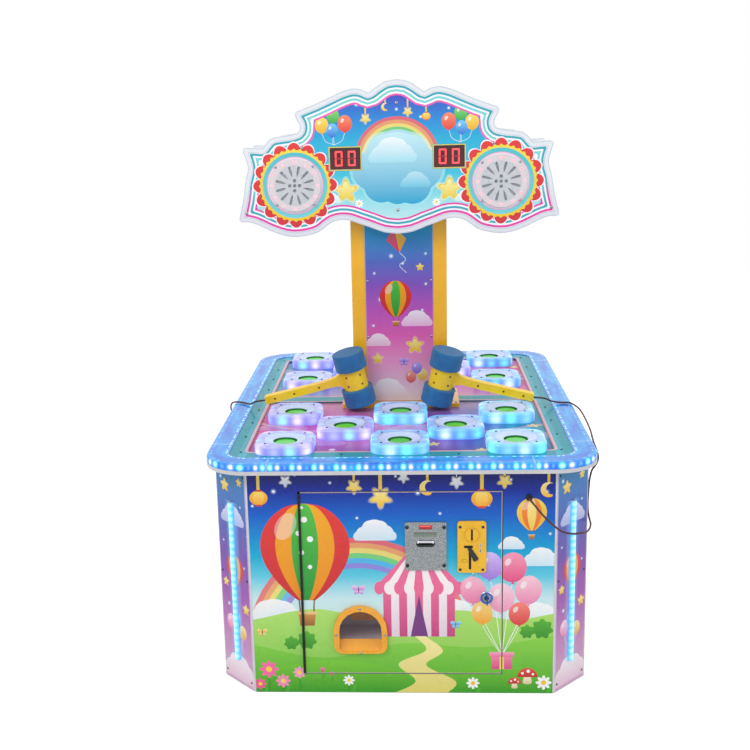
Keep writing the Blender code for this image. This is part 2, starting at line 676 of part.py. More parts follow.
def arch(grow, low, foot):
    # The outlet's outline: a half round over two foot corners.
    radius = OUTLET_HALF_WIDTH + grow
    centre_z = OUTLET_HIGH - OUTLET_HALF_WIDTH
    points = []
    for step in range(ROUND // 2 + 1):
        angle = math.pi * step / (ROUND // 2)
        points.append((OUTLET_X + radius * math.cos(angle), centre_z + radius * math.sin(angle)))
    for turn, side in ((2, -1), (3, 1)):
        for step in range(CORNER_STEPS):
            angle = 0.5 * math.pi * (turn + step / (CORNER_STEPS - 1))
            points.append((OUTLET_X + side * (radius - foot) + foot * math.cos(angle),
                           low + foot + foot * math.sin(angle)))
    return points


mouth_grow = -OUTLET_RING
mouth_foot = OUTLET_FOOT_CORNER - 0.5 * OUTLET_RING
mouth = arch(mouth_grow, OUTLET_MOUTH_LOW, mouth_foot)
spigot = arch(mouth_grow + OUTLET_SPIGOT_WALL, OUTLET_MOUTH_LOW - OUTLET_SPIGOT_WALL,
              mouth_foot + OUTLET_SPIGOT_WALL)
spigot_hole = arch(mouth_grow + OUTLET_SPIGOT_WALL + GAP,
                   OUTLET_MOUTH_LOW - OUTLET_SPIGOT_WALL - GAP,
                   mouth_foot + OUTLET_SPIGOT_WALL + GAP)


def around(x, z, width, height, grow):
    return rectangle(x - 0.5 * width - grow, x + 0.5 * width + grow,
                     z - 0.5 * height - grow, z + 0.5 * height + grow)


front_door = upright("front_door", [
    rectangle(DOOR_LEFT, DOOR_RIGHT, DOOR_LOW, DOOR_HIGH),
    around(COIN_CENTRE_X, COIN_CENTRE_Z, COIN_BODY_WIDTH, COIN_BODY_HEIGHT, GAP),
    around(TICKET_CENTRE_X, TICKET_CENTRE_Z, TICKET_BODY_WIDTH, TICKET_BODY_HEIGHT, GAP),
    spigot_hole,
    circle(LOCK_BARREL_RADIUS + GAP, ROUND, LOCK_X, LOCK_Z),
], FRONT, door_back, PRINT)

# Piano hinge: knuckles by turns on the fixed leaf, which carries the pin, and on
# the door's leaf.
hinge_low = DOOR_LOW + DOOR_PLAY
hinge_high = DOOR_HIGH - DOOR_PLAY
knuckle = (hinge_high - hinge_low) / HINGE_KNUCKLES


def knuckle_ends(index):
    low = hinge_low + knuckle * index + 0.5 * GAP
    high = hinge_low + knuckle * (index + 1) - 0.5 * GAP
    return low, high


fixed_profile = [(0.0, hinge_high - 0.5 * GAP)]
for index in reversed(range(HINGE_KNUCKLES)):
    low, high = knuckle_ends(index)
    if index % 2 == 0:
        fixed_profile.append((HINGE_RADIUS, high))
        fixed_profile.append((HINGE_RADIUS, low))
    if index > 0:
        below = knuckle_ends(index - 1)[1]
        if index % 2 == 0:
            fixed_profile.append((HINGE_PIN_RADIUS, low))
        else:
            fixed_profile.append((HINGE_PIN_RADIUS, below))
fixed_profile.append((0.0, hinge_low + 0.5 * GAP))
hinge_fixed = turned("hinge_fixed_leaf", fixed_profile, COARSE, BLACK)
hinge_fixed.location = (hinge_x, hinge_y, 0.0)
leaf_left = opening_left + GAP
leaf_form = box("hinge_fixed_leaf_plate",
                (leaf_left, FRONT + BITE, hinge_low), (leaf_left + HINGE_LEAF,
                                                       FRONT + HINGE_LEAF_DEPTH, hinge_high))
tabs = bmesh.new()
for index in range(0, HINGE_KNUCKLES, 2):
    low, high = knuckle_ends(index)
    made = bmesh.ops.create_cube(tabs, size=1.0)
    bmesh.ops.scale(tabs, verts=made["verts"], vec=(HINGE_LEAF, HINGE_PROUD + 2.0 * BITE, high - low))
    bmesh.ops.translate(tabs, verts=made["verts"],
                        vec=(leaf_left + 0.5 * HINGE_LEAF, FRONT - 0.5 * HINGE_PROUD + BITE,
                             0.5 * (low + high)))
fixed_tabs = finished(tabs, "hinge_fixed_tabs")
join(leaf_form, fixed_tabs)
join(hinge_fixed, leaf_form)

leaf_right = DOOR_LEFT - GAP
hinge_door = box("hinge_door_leaf", (leaf_right - HINGE_LEAF, FRONT + BITE, hinge_low),
                 (leaf_right, FRONT + HINGE_LEAF_DEPTH, hinge_high), BLACK)
origin_at(hinge_door, (hinge_x, hinge_y, 0.0))
tabs = bmesh.new()
barrels = bmesh.new()
for index in range(1, HINGE_KNUCKLES, 2):
    low, high = knuckle_ends(index)
    made = bmesh.ops.create_cube(tabs, size=1.0)
    bmesh.ops.scale(tabs, verts=made["verts"], vec=(HINGE_LEAF, HINGE_PROUD + 2.0 * BITE, high - low))
    bmesh.ops.translate(tabs, verts=made["verts"],
                        vec=(leaf_right - 0.5 * HINGE_LEAF, FRONT - 0.5 * HINGE_PROUD + BITE,
                             0.5 * (low + high)))
    place = Matrix.Translation((hinge_x, hinge_y, 0.5 * (low + high)))
    bmesh.ops.create_cone(barrels, cap_ends=True, segments=COARSE, radius1=HINGE_RADIUS,
                          radius2=HINGE_RADIUS, depth=high - low, matrix=place)
join(hinge_door, finished(tabs, "hinge_door_tabs"))
join(hinge_door, finished(barrels, "hinge_door_barrels"))
cut(hinge_door, cones("hinge_pin_hole", [(hinge_x, hinge_y)], hinge_low - PAST, hinge_high + PAST,
                      HINGE_PIN_RADIUS + HINGE_RUNNING, HINGE_PIN_RADIUS + HINGE_RUNNING, COARSE))

# Coin acceptor: a plate on the door's face, its body through the door, a raised
# dial with the coin slot.
coin_back = FRONT - GAP
coin_front = coin_back - COIN_PLATE_THICKNESS
coin_acceptor = upright("coin_acceptor", [
    rounded(0.5 * COIN_PLATE_WIDTH, 0.5 * COIN_PLATE_HEIGHT, COIN_PLATE_CORNER, CORNER_STEPS,
            COIN_CENTRE_X, COIN_CENTRE_Z)], coin_front, coin_back, COIN_YELLOW)
rounding(coin_acceptor, 0.5 * COIN_PLATE_THICKNESS, 2, lambda v: v.y < coin_front + GAP)
join(coin_acceptor, upright("coin_body", [
    around(COIN_CENTRE_X, COIN_CENTRE_Z, COIN_BODY_WIDTH, COIN_BODY_HEIGHT, 0.0)],
    coin_front + BITE, coin_back + COIN_BODY_DEPTH))
join(coin_acceptor, rods("coin_dial", [(COIN_CENTRE_X, COIN_DIAL_Z)], coin_front - COIN_DIAL_PROUD,
                         coin_front + BITE, COIN_DIAL_RADIUS, FINE))
cut(coin_acceptor, upright("coin_slot", [
    around(COIN_CENTRE_X, COIN_DIAL_Z, COIN_SLOT_WIDTH, COIN_SLOT_HEIGHT, 0.0)],
    coin_front - COIN_DIAL_PROUD - PAST, coin_front + COIN_SLOT_DEPTH))
origin_at(coin_acceptor, (COIN_CENTRE_X, coin_back, COIN_CENTRE_Z))

# Coin return lever: a hub and a round-ended arm in front of the plate.
lever_back = coin_front - GAP
lever_front = lever_back - LEVER_THICKNESS
lever_dx = LEVER_END_X - LEVER_X
lever_dz = LEVER_END_Z - LEVER_Z
lever_angle = math.atan2(lever_dz, lever_dx)
lever_outline = []
for end_x, end_z, start in ((LEVER_X, LEVER_Z, lever_angle + 0.5 * math.pi),
                            (LEVER_END_X, LEVER_END_Z, lever_angle - 0.5 * math.pi)):
    for step in range(SMALL + 1):
        angle = start + math.pi * step / SMALL
        lever_outline.append((end_x + LEVER_HALF * math.cos(angle),
                              end_z + LEVER_HALF * math.sin(angle)))
coin_lever = upright("coin_return_lever", [lever_outline], lever_front, lever_back, BLACK)
origin_at(coin_lever, (LEVER_X, lever_back, LEVER_Z))

# Ticket counter: a plate with its body behind it and the ticket slot.
ticket_back = FRONT - GAP
ticket_front = ticket_back - TICKET_PLATE_THICKNESS
ticket_counter = upright("ticket_counter", [
    rounded(0.5 * TICKET_PLATE_WIDTH, 0.5 * TICKET_PLATE_HEIGHT, TICKET_PLATE_CORNER, CORNER_STEPS,
            TICKET_CENTRE_X, TICKET_CENTRE_Z)], ticket_front, ticket_back, GREY_PLATE)
join(ticket_counter, upright("ticket_body", [
    around(TICKET_CENTRE_X, TICKET_CENTRE_Z, TICKET_BODY_WIDTH, TICKET_BODY_HEIGHT, 0.0)],
    ticket_front + BITE, ticket_back + TICKET_BODY_DEPTH))
cut(ticket_counter, upright("ticket_slot", [
    rounded(0.5 * TICKET_SLOT_WIDTH, 0.5 * TICKET_SLOT_HEIGHT, 0.49 * TICKET_SLOT_HEIGHT,
            CORNER_STEPS, TICKET_SLOT_X, TICKET_SLOT_Z)],
    ticket_front - PAST, ticket_front + TICKET_SLOT_DEPTH))
origin_at(ticket_counter, (TICKET_CENTRE_X, ticket_back, TICKET_CENTRE_Z))

# Prize outlet: the bezel with its spigot through the door and a sloping scoop at
# the foot of the mouth, and the tray behind the door.
bezel_back = FRONT - GAP
bezel_front = bezel_back - OUTLET_THICKNESS
outlet_bezel = upright("outlet_bezel", [arch(0.0, OUTLET_LOW, OUTLET_FOOT_CORNER)],
                       bezel_front, bezel_back, ORANGE)
rounding(outlet_bezel, 0.4 * OUTLET_THICKNESS, 2, lambda v: v.y < bezel_front + GAP)
spigot_back = door_back - GAP
join(outlet_bezel, upright("outlet_spigot", [spigot], bezel_front + 2.0 * BITE, spigot_back))
mouth_cut = upright("outlet_mouth", [mouth], bezel_front - PAST, spigot_back + PAST)
# What stays in the mouth is the scoop: its top slopes up towards the back.
scoop_lip = OUTLET_MOUTH_LOW + BITE
scoop = bmesh.new()
scoop_side = [(bezel_front + BITE, scoop_lip), (spigot_back - BITE, OUTLET_SCOOP_HIGH),
              (spigot_back + 2.0 * PAST, OUTLET_SCOOP_HIGH),
              (spigot_back + 2.0 * PAST, OUTLET_MOUTH_LOW - PAST),
              (bezel_front + BITE, OUTLET_MOUTH_LOW - PAST)]
for side in (-1, 1):
    corners = [scoop.verts.new((OUTLET_X + side * OUTLET_HALF_WIDTH, y, z)) for y, z in scoop_side]
    scoop.faces.new(corners)
scoop.verts.ensure_lookup_table()
count = len(scoop_side)
for index in range(count):
    following = (index + 1) % count
    scoop.faces.new((scoop.verts[index], scoop.verts[following],
                     scoop.verts[count + following], scoop.verts[count + index]))
scoop_form = finished(scoop, "outlet_scoop")
cut(mouth_cut, scoop_form)
cut(outlet_bezel, mouth_cut)
origin_at(outlet_bezel, (OUTLET_X, bezel_back, 0.5 * (OUTLET_LOW + OUTLET_HIGH)))

tray_front = door_back + GAP
tray_low = OUTLET_SCOOP_HIGH - TRAY_SIDE
tray_high = OUTLET_HIGH - OUTLET_RING + TRAY_SIDE
tray_half = OUTLET_HALF_WIDTH - OUTLET_RING + TRAY_SIDE
outlet_tray = box("outlet_tray", (OUTLET_X - tray_half, tray_front, tray_low),
                  (OUTLET_X + tray_half, tray_front + TRAY_DEPTH, tray_high), TRAY_MAUVE)
cut(outlet_tray, box("outlet_tray_inside",
                     (OUTLET_X - tray_half + TRAY_WALL, tray_front - PAST, tray_low + TRAY_WALL),
                     (OUTLET_X + tray_half - TRAY_WALL, tray_front + TRAY_DEPTH - TRAY_WALL,
                      tray_high - TRAY_WALL)))
origin_at(outlet_tray, (OUTLET_X, tray_front, tray_low))

# Lock: a collar on the door's face and a barrel through it; the key turns the
# plug and the cam behind the door.
plug_hole = KEY_PLUG_RADIUS + GAP
door_lock = turned("door_lock", [
    (plug_hole, GAP + LOCK_PROUD), (LOCK_RADIUS - BITE, GAP + LOCK_PROUD),
    (LOCK_RADIUS, GAP + LOCK_PROUD - BITE), (LOCK_RADIUS, GAP), (LOCK_BARREL_RADIUS, GAP),
    (LOCK_BARREL_RADIUS, -LOCK_BARREL_DEPTH), (plug_hole, -LOCK_BARREL_DEPTH),
    (plug_hole, GAP + LOCK_PROUD)], ROUND, STEEL)
facing_front(door_lock, LOCK_X, FRONT, LOCK_Z)
plug_front = LOCK_PROUD + GAP - BITE
cam_start = LOCK_BARREL_DEPTH + GAP
door_key = turned("door_key", [
    (0.0, plug_front), (KEY_PLUG_RADIUS, plug_front), (KEY_PLUG_RADIUS, -cam_start - CAM_THICKNESS),
    (0.0, -cam_start - CAM_THICKNESS)], ROUND, STEEL)
facing_front(door_key, LOCK_X, FRONT, LOCK_Z)
cam_front = FRONT + cam_start
cam_outline = rounded(CAM_HALF_WIDTH, 0.5 * (CAM_LENGTH + CAM_HALF_WIDTH),
                      CAM_HALF_WIDTH * CAM_WAIST_SHARE, CORNER_STEPS,
                      LOCK_X, LOCK_Z - 0.5 * (CAM_LENGTH - CAM_HALF_WIDTH))
join(door_key, upright("lock_cam", [cam_outline], cam_front, cam_front + CAM_THICKNESS))
shank_front = FRONT - plug_front - KEY_SHANK
join(door_key, box("key_shank", (LOCK_X - 0.5 * KEY_BOW_THICKNESS, shank_front - BITE,
                                 LOCK_Z - 0.5 * KEY_SHANK),
                   (LOCK_X + 0.5 * KEY_BOW_THICKNESS, FRONT - plug_front + BITE,
                    LOCK_Z + 0.5 * KEY_SHANK)))
bow = flat("key_bow", [rounded(0.5 * KEY_BOW_WIDTH, 0.5 * KEY_BOW_HEIGHT, 0.4 * KEY_BOW_WIDTH,
                               CORNER_STEPS)], -0.55 * KEY_BOW_THICKNESS, 0.55 * KEY_BOW_THICKNESS)
turn_mesh(bow, Matrix.Translation((LOCK_X, shank_front - 0.5 * KEY_BOW_WIDTH, LOCK_Z))
          @ Matrix.Rotation(0.5 * math.pi, 4, "Z") @ Matrix.Rotation(0.5 * math.pi, 4, "X"))
join(door_key, bow)

door_swing = holder("door_swing", (hinge_x, hinge_y, 0.0))
bpy.context.view_layer.update()
hang_on(door_swing, [front_door, hinge_door, coin_acceptor, coin_lever, ticket_counter,
                     outlet_bezel, outlet_tray, door_lock, door_key])


# Cord glands: a head outside, a neck through the wall and a nut inside.
def gland(name):
    inside = -WALL - GAP
    return turned(name, [
        (0.0, GAP + GLAND_HEAD_LENGTH), (GLAND_HEAD_RADIUS - 2.0 * BITE, GAP + GLAND_HEAD_LENGTH),
        (GLAND_HEAD_RADIUS, GAP + 0.5 * GLAND_HEAD_LENGTH), (GLAND_HEAD_RADIUS, GAP),
        (GLAND_NECK_RADIUS, GAP), (GLAND_NECK_RADIUS, inside), (GLAND_NUT_RADIUS, inside),
        (GLAND_NUT_RADIUS, inside - GLAND_NUT_LENGTH), (0.0, inside - GLAND_NUT_LENGTH)],
        COARSE, RUBBER)


facing_front(gland("cord_gland_front"), GLAND_X, FRONT, GLAND_Z)
facing_rear(gland("cord_gland_rear"), -GLAND_X, REAR, GLAND_Z)


# Deck board: a rebate at its edge takes the rim, sixteen holes pass the moles.
def deck_outline(inset):
    return rounded(DECK_HALF_WIDTH - inset, DECK_HALF_DEPTH - inset, DECK_CORNER - inset,
                   2 * CORNER_STEPS)


def rim_inside(inset):
    return rounded(RIM_INNER_X - inset, RIM_INNER_Y - inset, RIM_INNER_CORNER - inset, CORNER_STEPS)


pad_places = {}
for half, sy in (("front", -1), ("rear", 1)):
    places = []
    for row in (PAD_ROW_OUTER, PAD_ROW_INNER):
        for x in (-PAD_COLUMN, 0.0, PAD_COLUMN):
            places.append((x, sy * row))
    for x in (-0.5 * PAD_COLUMN, 0.5 * PAD_COLUMN):
        places.append((x, sy * PAD_ROW_MIDDLE))
    pad_places[half] = places
all_places = pad_places["front"] + pad_places["rear"]

board_low = CABINET_HEIGHT
deck_board = flat("deck_board", [deck_outline(TRIM_WIDTH + GAP)], board_low, TRIM_TOP - GAP, WOOD)
join(deck_board, flat("deck_raised", [rim_inside(GAP)], board_low + BITE, SHEET_BOTTOM - GAP))
cut(deck_board, cones("deck_holes", all_places, board_low - PAST, SHEET_BOTTOM + PAST,
                      BOARD_HOLE_RADIUS, BOARD_HOLE_RADIUS, COARSE))
deck_trim = flat("deck_trim", [deck_outline(0.0), deck_outline(TRIM_WIDTH)], board_low,
                 TRIM_TOP - GAP, TRIM_GREY)


# Clear rim in eight pieces with fine joints.
def rim(name, region):
    low, high = region
    piece = flat(name, [deck_outline(0.0), rim_inside(0.0)], TRIM_TOP, RIM_TOP, CLEAR_BLUE)
    rounding(piece, RIM_ROUNDING, 2,
             lambda v: v.z > RIM_TOP - GAP and (abs(v.x) > RIM_INNER_X + GAP
                                                or abs(v.y) > RIM_INNER_Y + GAP))
    common(piece, box(name + "_span", (*low, TRIM_TOP - PAST), (*high, RIM_TOP + PAST)))
    return piece


far = DECK_HALF_DEPTH + PAST
near_x = RIM_JOINT_X + 0.5 * RIM_JOINT_GAP
near_y = RIM_JOINT_Y + 0.5 * RIM_JOINT_GAP
end_x = RIM_JOINT_X - 0.5 * RIM_JOINT_GAP
side_y = RIM_JOINT_Y - 0.5 * RIM_JOINT_GAP
rim("rim_front", ((-end_x, -far), (end_x, 0.0)))
rim("rim_rear", ((-end_x, 0.0), (end_x, far)))
rim("rim_left", ((-far, -side_y), (0.0, side_y)))
rim("rim_right", ((0.0, -side_y), (far, side_y)))
rim("rim_corner_front_left", ((-far, -far), (-near_x, -near_y)))
rim("rim_corner_front_right", ((near_x, -far), (far, -near_y)))
rim("rim_corner_rear_left", ((-far, near_y), (-near_x, far)))
rim("rim_corner_rear_right", ((near_x, near_y), (far, far)))


# Playfield: each half a printed sheet with its eight pads.
def pad_outlines(places, grow):
    return [rounded(PAD_HALF + grow, PAD_HALF + grow, PAD_CORNER + grow, CORNER_STEPS, x, y)
            for x, y in places]


def playfield(name, places, low_y, high_y):
    sheet = flat(name, [rim_inside(GAP)], SHEET_BOTTOM, SHEET_TOP, FIELD)
    reach = RIM_INNER_X + PAST
    common(sheet, box(name + "_half", (-reach, low_y, SHEET_BOTTOM - PAST),
                      (reach, high_y, SHEET_TOP + PAST)))
    pads = flat(name + "_pads", pad_outlines(places, 0.0), SHEET_TOP - BITE, PAD_TOP)
    rounding(pads, PAD_ROUNDING, 2, lambda v: v.z > PAD_TOP - GAP)
    join(sheet, pads)
    dish_slope = (PAD_DISH_RADIUS - PAD_DISH_FLOOR_RADIUS) / PAD_DISH_DEPTH
    cut(sheet, cones(name + "_dishes", places, PAD_TOP - PAD_DISH_DEPTH, PAD_TOP + BITE,
                     PAD_DISH_FLOOR_RADIUS, PAD_DISH_RADIUS + dish_slope * BITE, ROUND))
    cut(sheet, cones(name + "_holes", places, SHEET_BOTTOM - PAST, PAD_TOP + PAST,
                     MOLE_HOLE_RADIUS, MOLE_HOLE_RADIUS, ROUND))
    return sheet


playfield_end = RIM_INNER_Y + PAST
playfield("playfield_front", pad_places["front"], -playfield_end, -0.5 * GAP)
playfield("playfield_rear", pad_places["rear"], 0.5 * GAP, playfield_end)

# Border frame over the playfield: its bar crosses under the column, whose flange
# it is cut away for, and it is notched round the outer pads.
border_low = SHEET_TOP + GAP
window_half = 0.5 * (BORDER_INNER_Y - CROSSBAR_HALF)
window_middle = 0.5 * (BORDER_INNER_Y + CROSSBAR_HALF)
border_frame = flat("border_frame", [
    rim_inside(GAP),
    rounded(BORDER_INNER_X, window_half, BORDER_INNER_CORNER, CORNER_STEPS, 0.0, -window_middle),
    rounded(BORDER_INNER_X, window_half, BORDER_INNER_CORNER, CORNER_STEPS, 0.0, window_middle),
], border_low, BORDER_TOP, TEAL)
flange_clear_x = FLANGE_HALF_WIDTH + PAD_CLEARANCE
flange_clear_y = FLANGE_HALF_DEPTH + PAD_CLEARANCE
cut(border_frame, box("flange_clearance", (-flange_clear_x, -flange_clear_y, SHEET_TOP),
                      (flange_clear_x, flange_clear_y, BORDER_TOP + PAST)))
outer_places = [place for place in all_places if abs(place[1]) > PAD_ROW_MIDDLE + PAD_CLEARANCE]
cut(border_frame, flat("pad_clearance", pad_outlines(outer_places, PAD_CLEARANCE), SHEET_TOP,
                       BORDER_TOP + PAST))

# Moles: each is its own plunger in its pad's hole.
mole_number = 0
for half in ("front", "rear"):
    for x, y in sorted(pad_places[half], key=lambda place: (abs(place[1]), place[0]), reverse=True):
        mole_number += 1
        name = "mole_%02d" % mole_number
        mole = cones(name, [(0.0, 0.0)], -MOLE_LENGTH, 0.0, MOLE_RADIUS, MOLE_RADIUS, ROUND, GREEN)
        rounding(mole, MOLE_ROUNDING, 1, lambda v: v.z > -GAP)
        mole.location = (x, y, MOLE_TOP)

# Column: a flanged case with a panel let into its front and its rear.
flange_low = SHEET_TOP + GAP
column_case = flat("column_case", [rounded(FLANGE_HALF_WIDTH, FLANGE_HALF_DEPTH, FLANGE_CORNER,
                                           CORNER_STEPS)], flange_low, FLANGE_TOP, AMBER)
rounding(column_case, BITE, 2, lambda v: v.z > FLANGE_TOP - GAP)
join(column_case, box("column_post", (-COLUMN_HALF_WIDTH, -COLUMN_HALF_DEPTH, FLANGE_TOP - BITE),
                      (COLUMN_HALF_WIDTH, COLUMN_HALF_DEPTH, COLUMN_TOP)))
inner_x = COLUMN_HALF_WIDTH - COLUMN_WALL
inner_y = COLUMN_HALF_DEPTH - COLUMN_WALL
cut(column_case, box("column_inside", (-inner_x, -inner_y, flange_low - PAST),
                     (inner_x, inner_y, COLUMN_TOP - COLUMN_WALL)))
recess_x = COLUMN_PANEL_HALF + COLUMN_PANEL_PLAY
recess_y = COLUMN_HALF_DEPTH - COLUMN_RECESS
recess_low = FLANGE_TOP
recess_high = COLUMN_TOP - COLUMN_WALL
for side in (-1, 1):
    ends = sorted((side * recess_y, side * (COLUMN_HALF_DEPTH + PAST)))
    cut(column_case, box("column_recess_%s" % ("front" if side < 0 else "rear"),
                         (-recess_x, ends[0], recess_low), (recess_x, ends[1], recess_high)))
    faces = sorted((side * (recess_y + GAP), side * (recess_y + GAP + COLUMN_PANEL_THICKNESS)))
    panel = box("column_panel_%s" % ("front" if side < 0 else "rear"),
                (-COLUMN_PANEL_HALF, faces[0], recess_low + COLUMN_PANEL_PLAY),
                (COLUMN_PANEL_HALF, faces[1], recess_high - COLUMN_PANEL_PLAY), COLUMN_PRINT)
    origin_at(panel, (0.0, side * recess_y, recess_low))

# Marquee: an open core on the column's top between two boards.
core_low = COLUMN_TOP + GAP
core_face = BOARD_FACE - BOARD_THICKNESS - GAP
core_outer = rectangle(-CORE_HALF_WIDTH, CORE_HALF_WIDTH, core_low, CORE_TOP)
core_inner = rectangle(-CORE_HALF_WIDTH + CORE_WALL, CORE_HALF_WIDTH - CORE_WALL,
                       core_low + CORE_WALL, CORE_TOP - CORE_WALL)
marquee_core = upright("marquee_core", [core_outer, core_inner], -core_face, core_face, AMBER)
origin_at(marquee_core, (0.0, 0.0, core_low))

right_half = []
for run in MARQUEE_RUNS:
    run_points = smooth([(x, COLUMN_TOP + rise, 0.0) for x, rise in run], 2)
    right_half.extend(run_points[:-1])
foot_x, foot_rise = MARQUEE_RUNS[-1][-1]
right_half.append(Vector((foot_x, COLUMN_TOP + foot_rise, 0.0)))
marquee_outline = [(point.x, point.y) for point in right_half]
marquee_outline += [(-point.x, point.y) for point in reversed(right_half[1:-1])]

hole_radius = SPEAKER_CAN_RADIUS + GAP
marquee_front = upright("marquee_board_front", [
    marquee_outline,
    circle(hole_radius, FINE, -SPEAKER_X, SPEAKER_Z),
    circle(hole_radius, FINE, SPEAKER_X, SPEAKER_Z),
], -BOARD_FACE, -BOARD_FACE + BOARD_THICKNESS, ACRYLIC)
for side, label in ((-1, "left"), (1, "right")):
    ends = sorted((side * DISPLAY_INNER_X, side * DISPLAY_OUTER_X))
    cut(marquee_front, box("display_window_" + label, (ends[0], -BOARD_FACE - PAST, DISPLAY_LOW),
                           (ends[1], -BOARD_FACE + DISPLAY_DEPTH, DISPLAY_HIGH)))
origin_at(marquee_front, (0.0, -BOARD_FACE, SPEAKER_Z))
marquee_rear = upright("marquee_board_rear", [marquee_outline], BOARD_FACE - BOARD_THICKNESS,
                       BOARD_FACE, ACRYLIC)
origin_at(marquee_rear, (0.0, BOARD_FACE, SPEAKER_Z))


# Speakers: a ring on the board's face, a can through it and a pierced grille.
def speaker(name, x):
    ring_front = GAP + SPEAKER_RING_THICKNESS
    body = turned(name, [
        (0.0, ring_front), (SPEAKER_RING_RADIUS - 2.0 * BITE, ring_front),
        (SPEAKER_RING_RADIUS, ring_front - 2.0 * BITE), (SPEAKER_RING_RADIUS, GAP),
        (SPEAKER_CAN_RADIUS, GAP), (SPEAKER_CAN_RADIUS, GAP - SPEAKER_CAN_DEPTH),
        (0.0, GAP - SPEAKER_CAN_DEPTH)], FINE, GREY_PLASTIC)
    facing_front(body, x, -BOARD_FACE, SPEAKER_Z)
    face = -BOARD_FACE - ring_front
    cavity_front = face + SPEAKER_GRILLE_THICKNESS
    cavity_back = -BOARD_FACE - GAP + SPEAKER_CAN_DEPTH - SPEAKER_GRILLE_THICKNESS
    cut(body, rods(name + "_cavity", [(x, SPEAKER_Z)], cavity_front, cavity_back,
                   SPEAKER_CAVITY_RADIUS, FINE))
    holes = [(x, SPEAKER_Z)]
    for index in range(4):
        angle = 0.5 * math.pi * index
        holes.append((x + SPEAKER_HOLE_PITCH * math.cos(angle),
                      SPEAKER_Z + SPEAKER_HOLE_PITCH * math.sin(angle)))
    cut(body, rods(name + "_holes", holes, face - PAST, cavity_front + PAST, SPEAKER_HOLE_RADIUS,
                   SMALL))
    slots = []
    for index in range(SPEAKER_SLOTS):
        angle = 2.0 * math.pi * (index + 0.5) / SPEAKER_SLOTS
        ux, uz = math.cos(angle), math.sin(angle)
        shape = ((SPEAKER_SLOT_INNER, 0.0), (0.5 * (SPEAKER_SLOT_INNER + SPEAKER_SLOT_OUTER), 1.0),
                 (SPEAKER_SLOT_OUTER, 1.0), (SPEAKER_SLOT_OUTER + SPEAKER_SLOT_HALF, 0.0),
                 (SPEAKER_SLOT_OUTER, -1.0),
                 (0.5 * (SPEAKER_SLOT_INNER + SPEAKER_SLOT_OUTER), -1.0))
        slots.append([(x + out * ux - side * SPEAKER_SLOT_HALF * uz,
                       SPEAKER_Z + out * uz + side * SPEAKER_SLOT_HALF * ux)
                      for out, side in shape])
    cut(body, upright(name + "_slots", slots, face - PAST, cavity_front + PAST))
    return body


speaker("speaker_left", -SPEAKER_X)
speaker("speaker_right", SPEAKER_X)


# Hammers: a foam head through a clamp ring that runs on into the handle.
def hammer_frame(side, x):
    axis = Vector((side * math.sin(HAMMER_TILT) * math.cos(HAMMER_LEAN), math.sin(HAMMER_LEAN),
                   math.cos(HAMMER_TILT) * math.cos(HAMMER_LEAN)))
    along = Vector((side * math.cos(HAMMER_YAW), math.sin(HAMMER_YAW), 0.0))
    along = (along - axis * along.dot(axis)).normalized()
    across = axis.cross(along)
    turn = Matrix((along, across, axis)).transposed().to_4x4()
    return Matrix.Translation((x, HAMMER_Y, HAMMER_Z)) @ turn, along


def drum(waist, groove):
    # Profile of a head: two foam ends of one radius with a groove for the clamp.
    soft = (1.0 - math.sqrt(0.5)) * HEAD_ROUNDING
    half = 0.5 * HEAD_LENGTH
    upper = [(0.0, half), (HEAD_RADIUS - HEAD_ROUNDING, half), (HEAD_RADIUS - soft, half - soft),
             (HEAD_RADIUS, half - HEAD_ROUNDING), (HEAD_RADIUS, groove + HEAD_ROUNDING),
             (HEAD_RADIUS - soft, groove + soft), (HEAD_RADIUS - HEAD_ROUNDING, groove),
             (waist, groove)]
    return upper + [(radius, -height) for radius, height in reversed(upper)]


def hammer(label, side, x):
    place, along = hammer_frame(side, x)
    clamp_inner = CLAMP_RADIUS - CLAMP_WALL
    head = turned("hammer_head_" + label,
                  drum(clamp_inner - CLAMP_GAP, 0.5 * CLAMP_HEIGHT + CLAMP_GAP), FINE, FOAM_BLUE)
    over = [(out, rise) for out, rise, fall in HANDLE_OUTLINE]
    under = [(out, -fall) for out, rise, fall in reversed(HANDLE_OUTLINE)]
    arm = upright("hammer_handle_" + label, [over + under], -0.5 * HANDLE_THICKNESS,
                  0.5 * HANDLE_THICKNESS, HANDLE_YELLOW)
    ring = flat("clamp_ring_" + label, [circle(CLAMP_RADIUS, FINE), circle(clamp_inner, FINE)],
                -0.5 * CLAMP_HEIGHT, 0.5 * CLAMP_HEIGHT)
    join(arm, ring)
    lift = holder("hammer_%s_lift" % label, place.translation)
    bpy.context.view_layer.update()
    for piece in (head, arm, ring):
        piece.matrix_world = place
    bpy.context.view_layer.update()
    for piece in (head, arm):
        piece.parent = lift
        piece.matrix_parent_inverse = Matrix.Translation(-place.translation)
    return place.translation + along * HANDLE_REACH, along


# Cords: a smooth round tube from each handle's end to its gland.
def route(start, side, panel_y, over, beside, before):
    out = -1.0 if panel_y < 0.0 else 1.0
    points = []
    for share, behind, z in over:
        x = abs(start.x) + share * (DECK_HALF_WIDTH - abs(start.x))
        points.append((side * x, start.y + behind, CABINET_HEIGHT + z))
    for beyond, share, z in beside:
        y = start.y + share * (panel_y - start.y)
        points.append((side * (DECK_HALF_WIDTH + beyond), y, CABINET_HEIGHT + z))
    for share, proud, z in before:
        x = GLAND_X + share * (CABINET_HALF_WIDTH - GLAND_X)
        points.append((side * x, panel_y + out * proud, CABINET_HEIGHT + z))
    return points


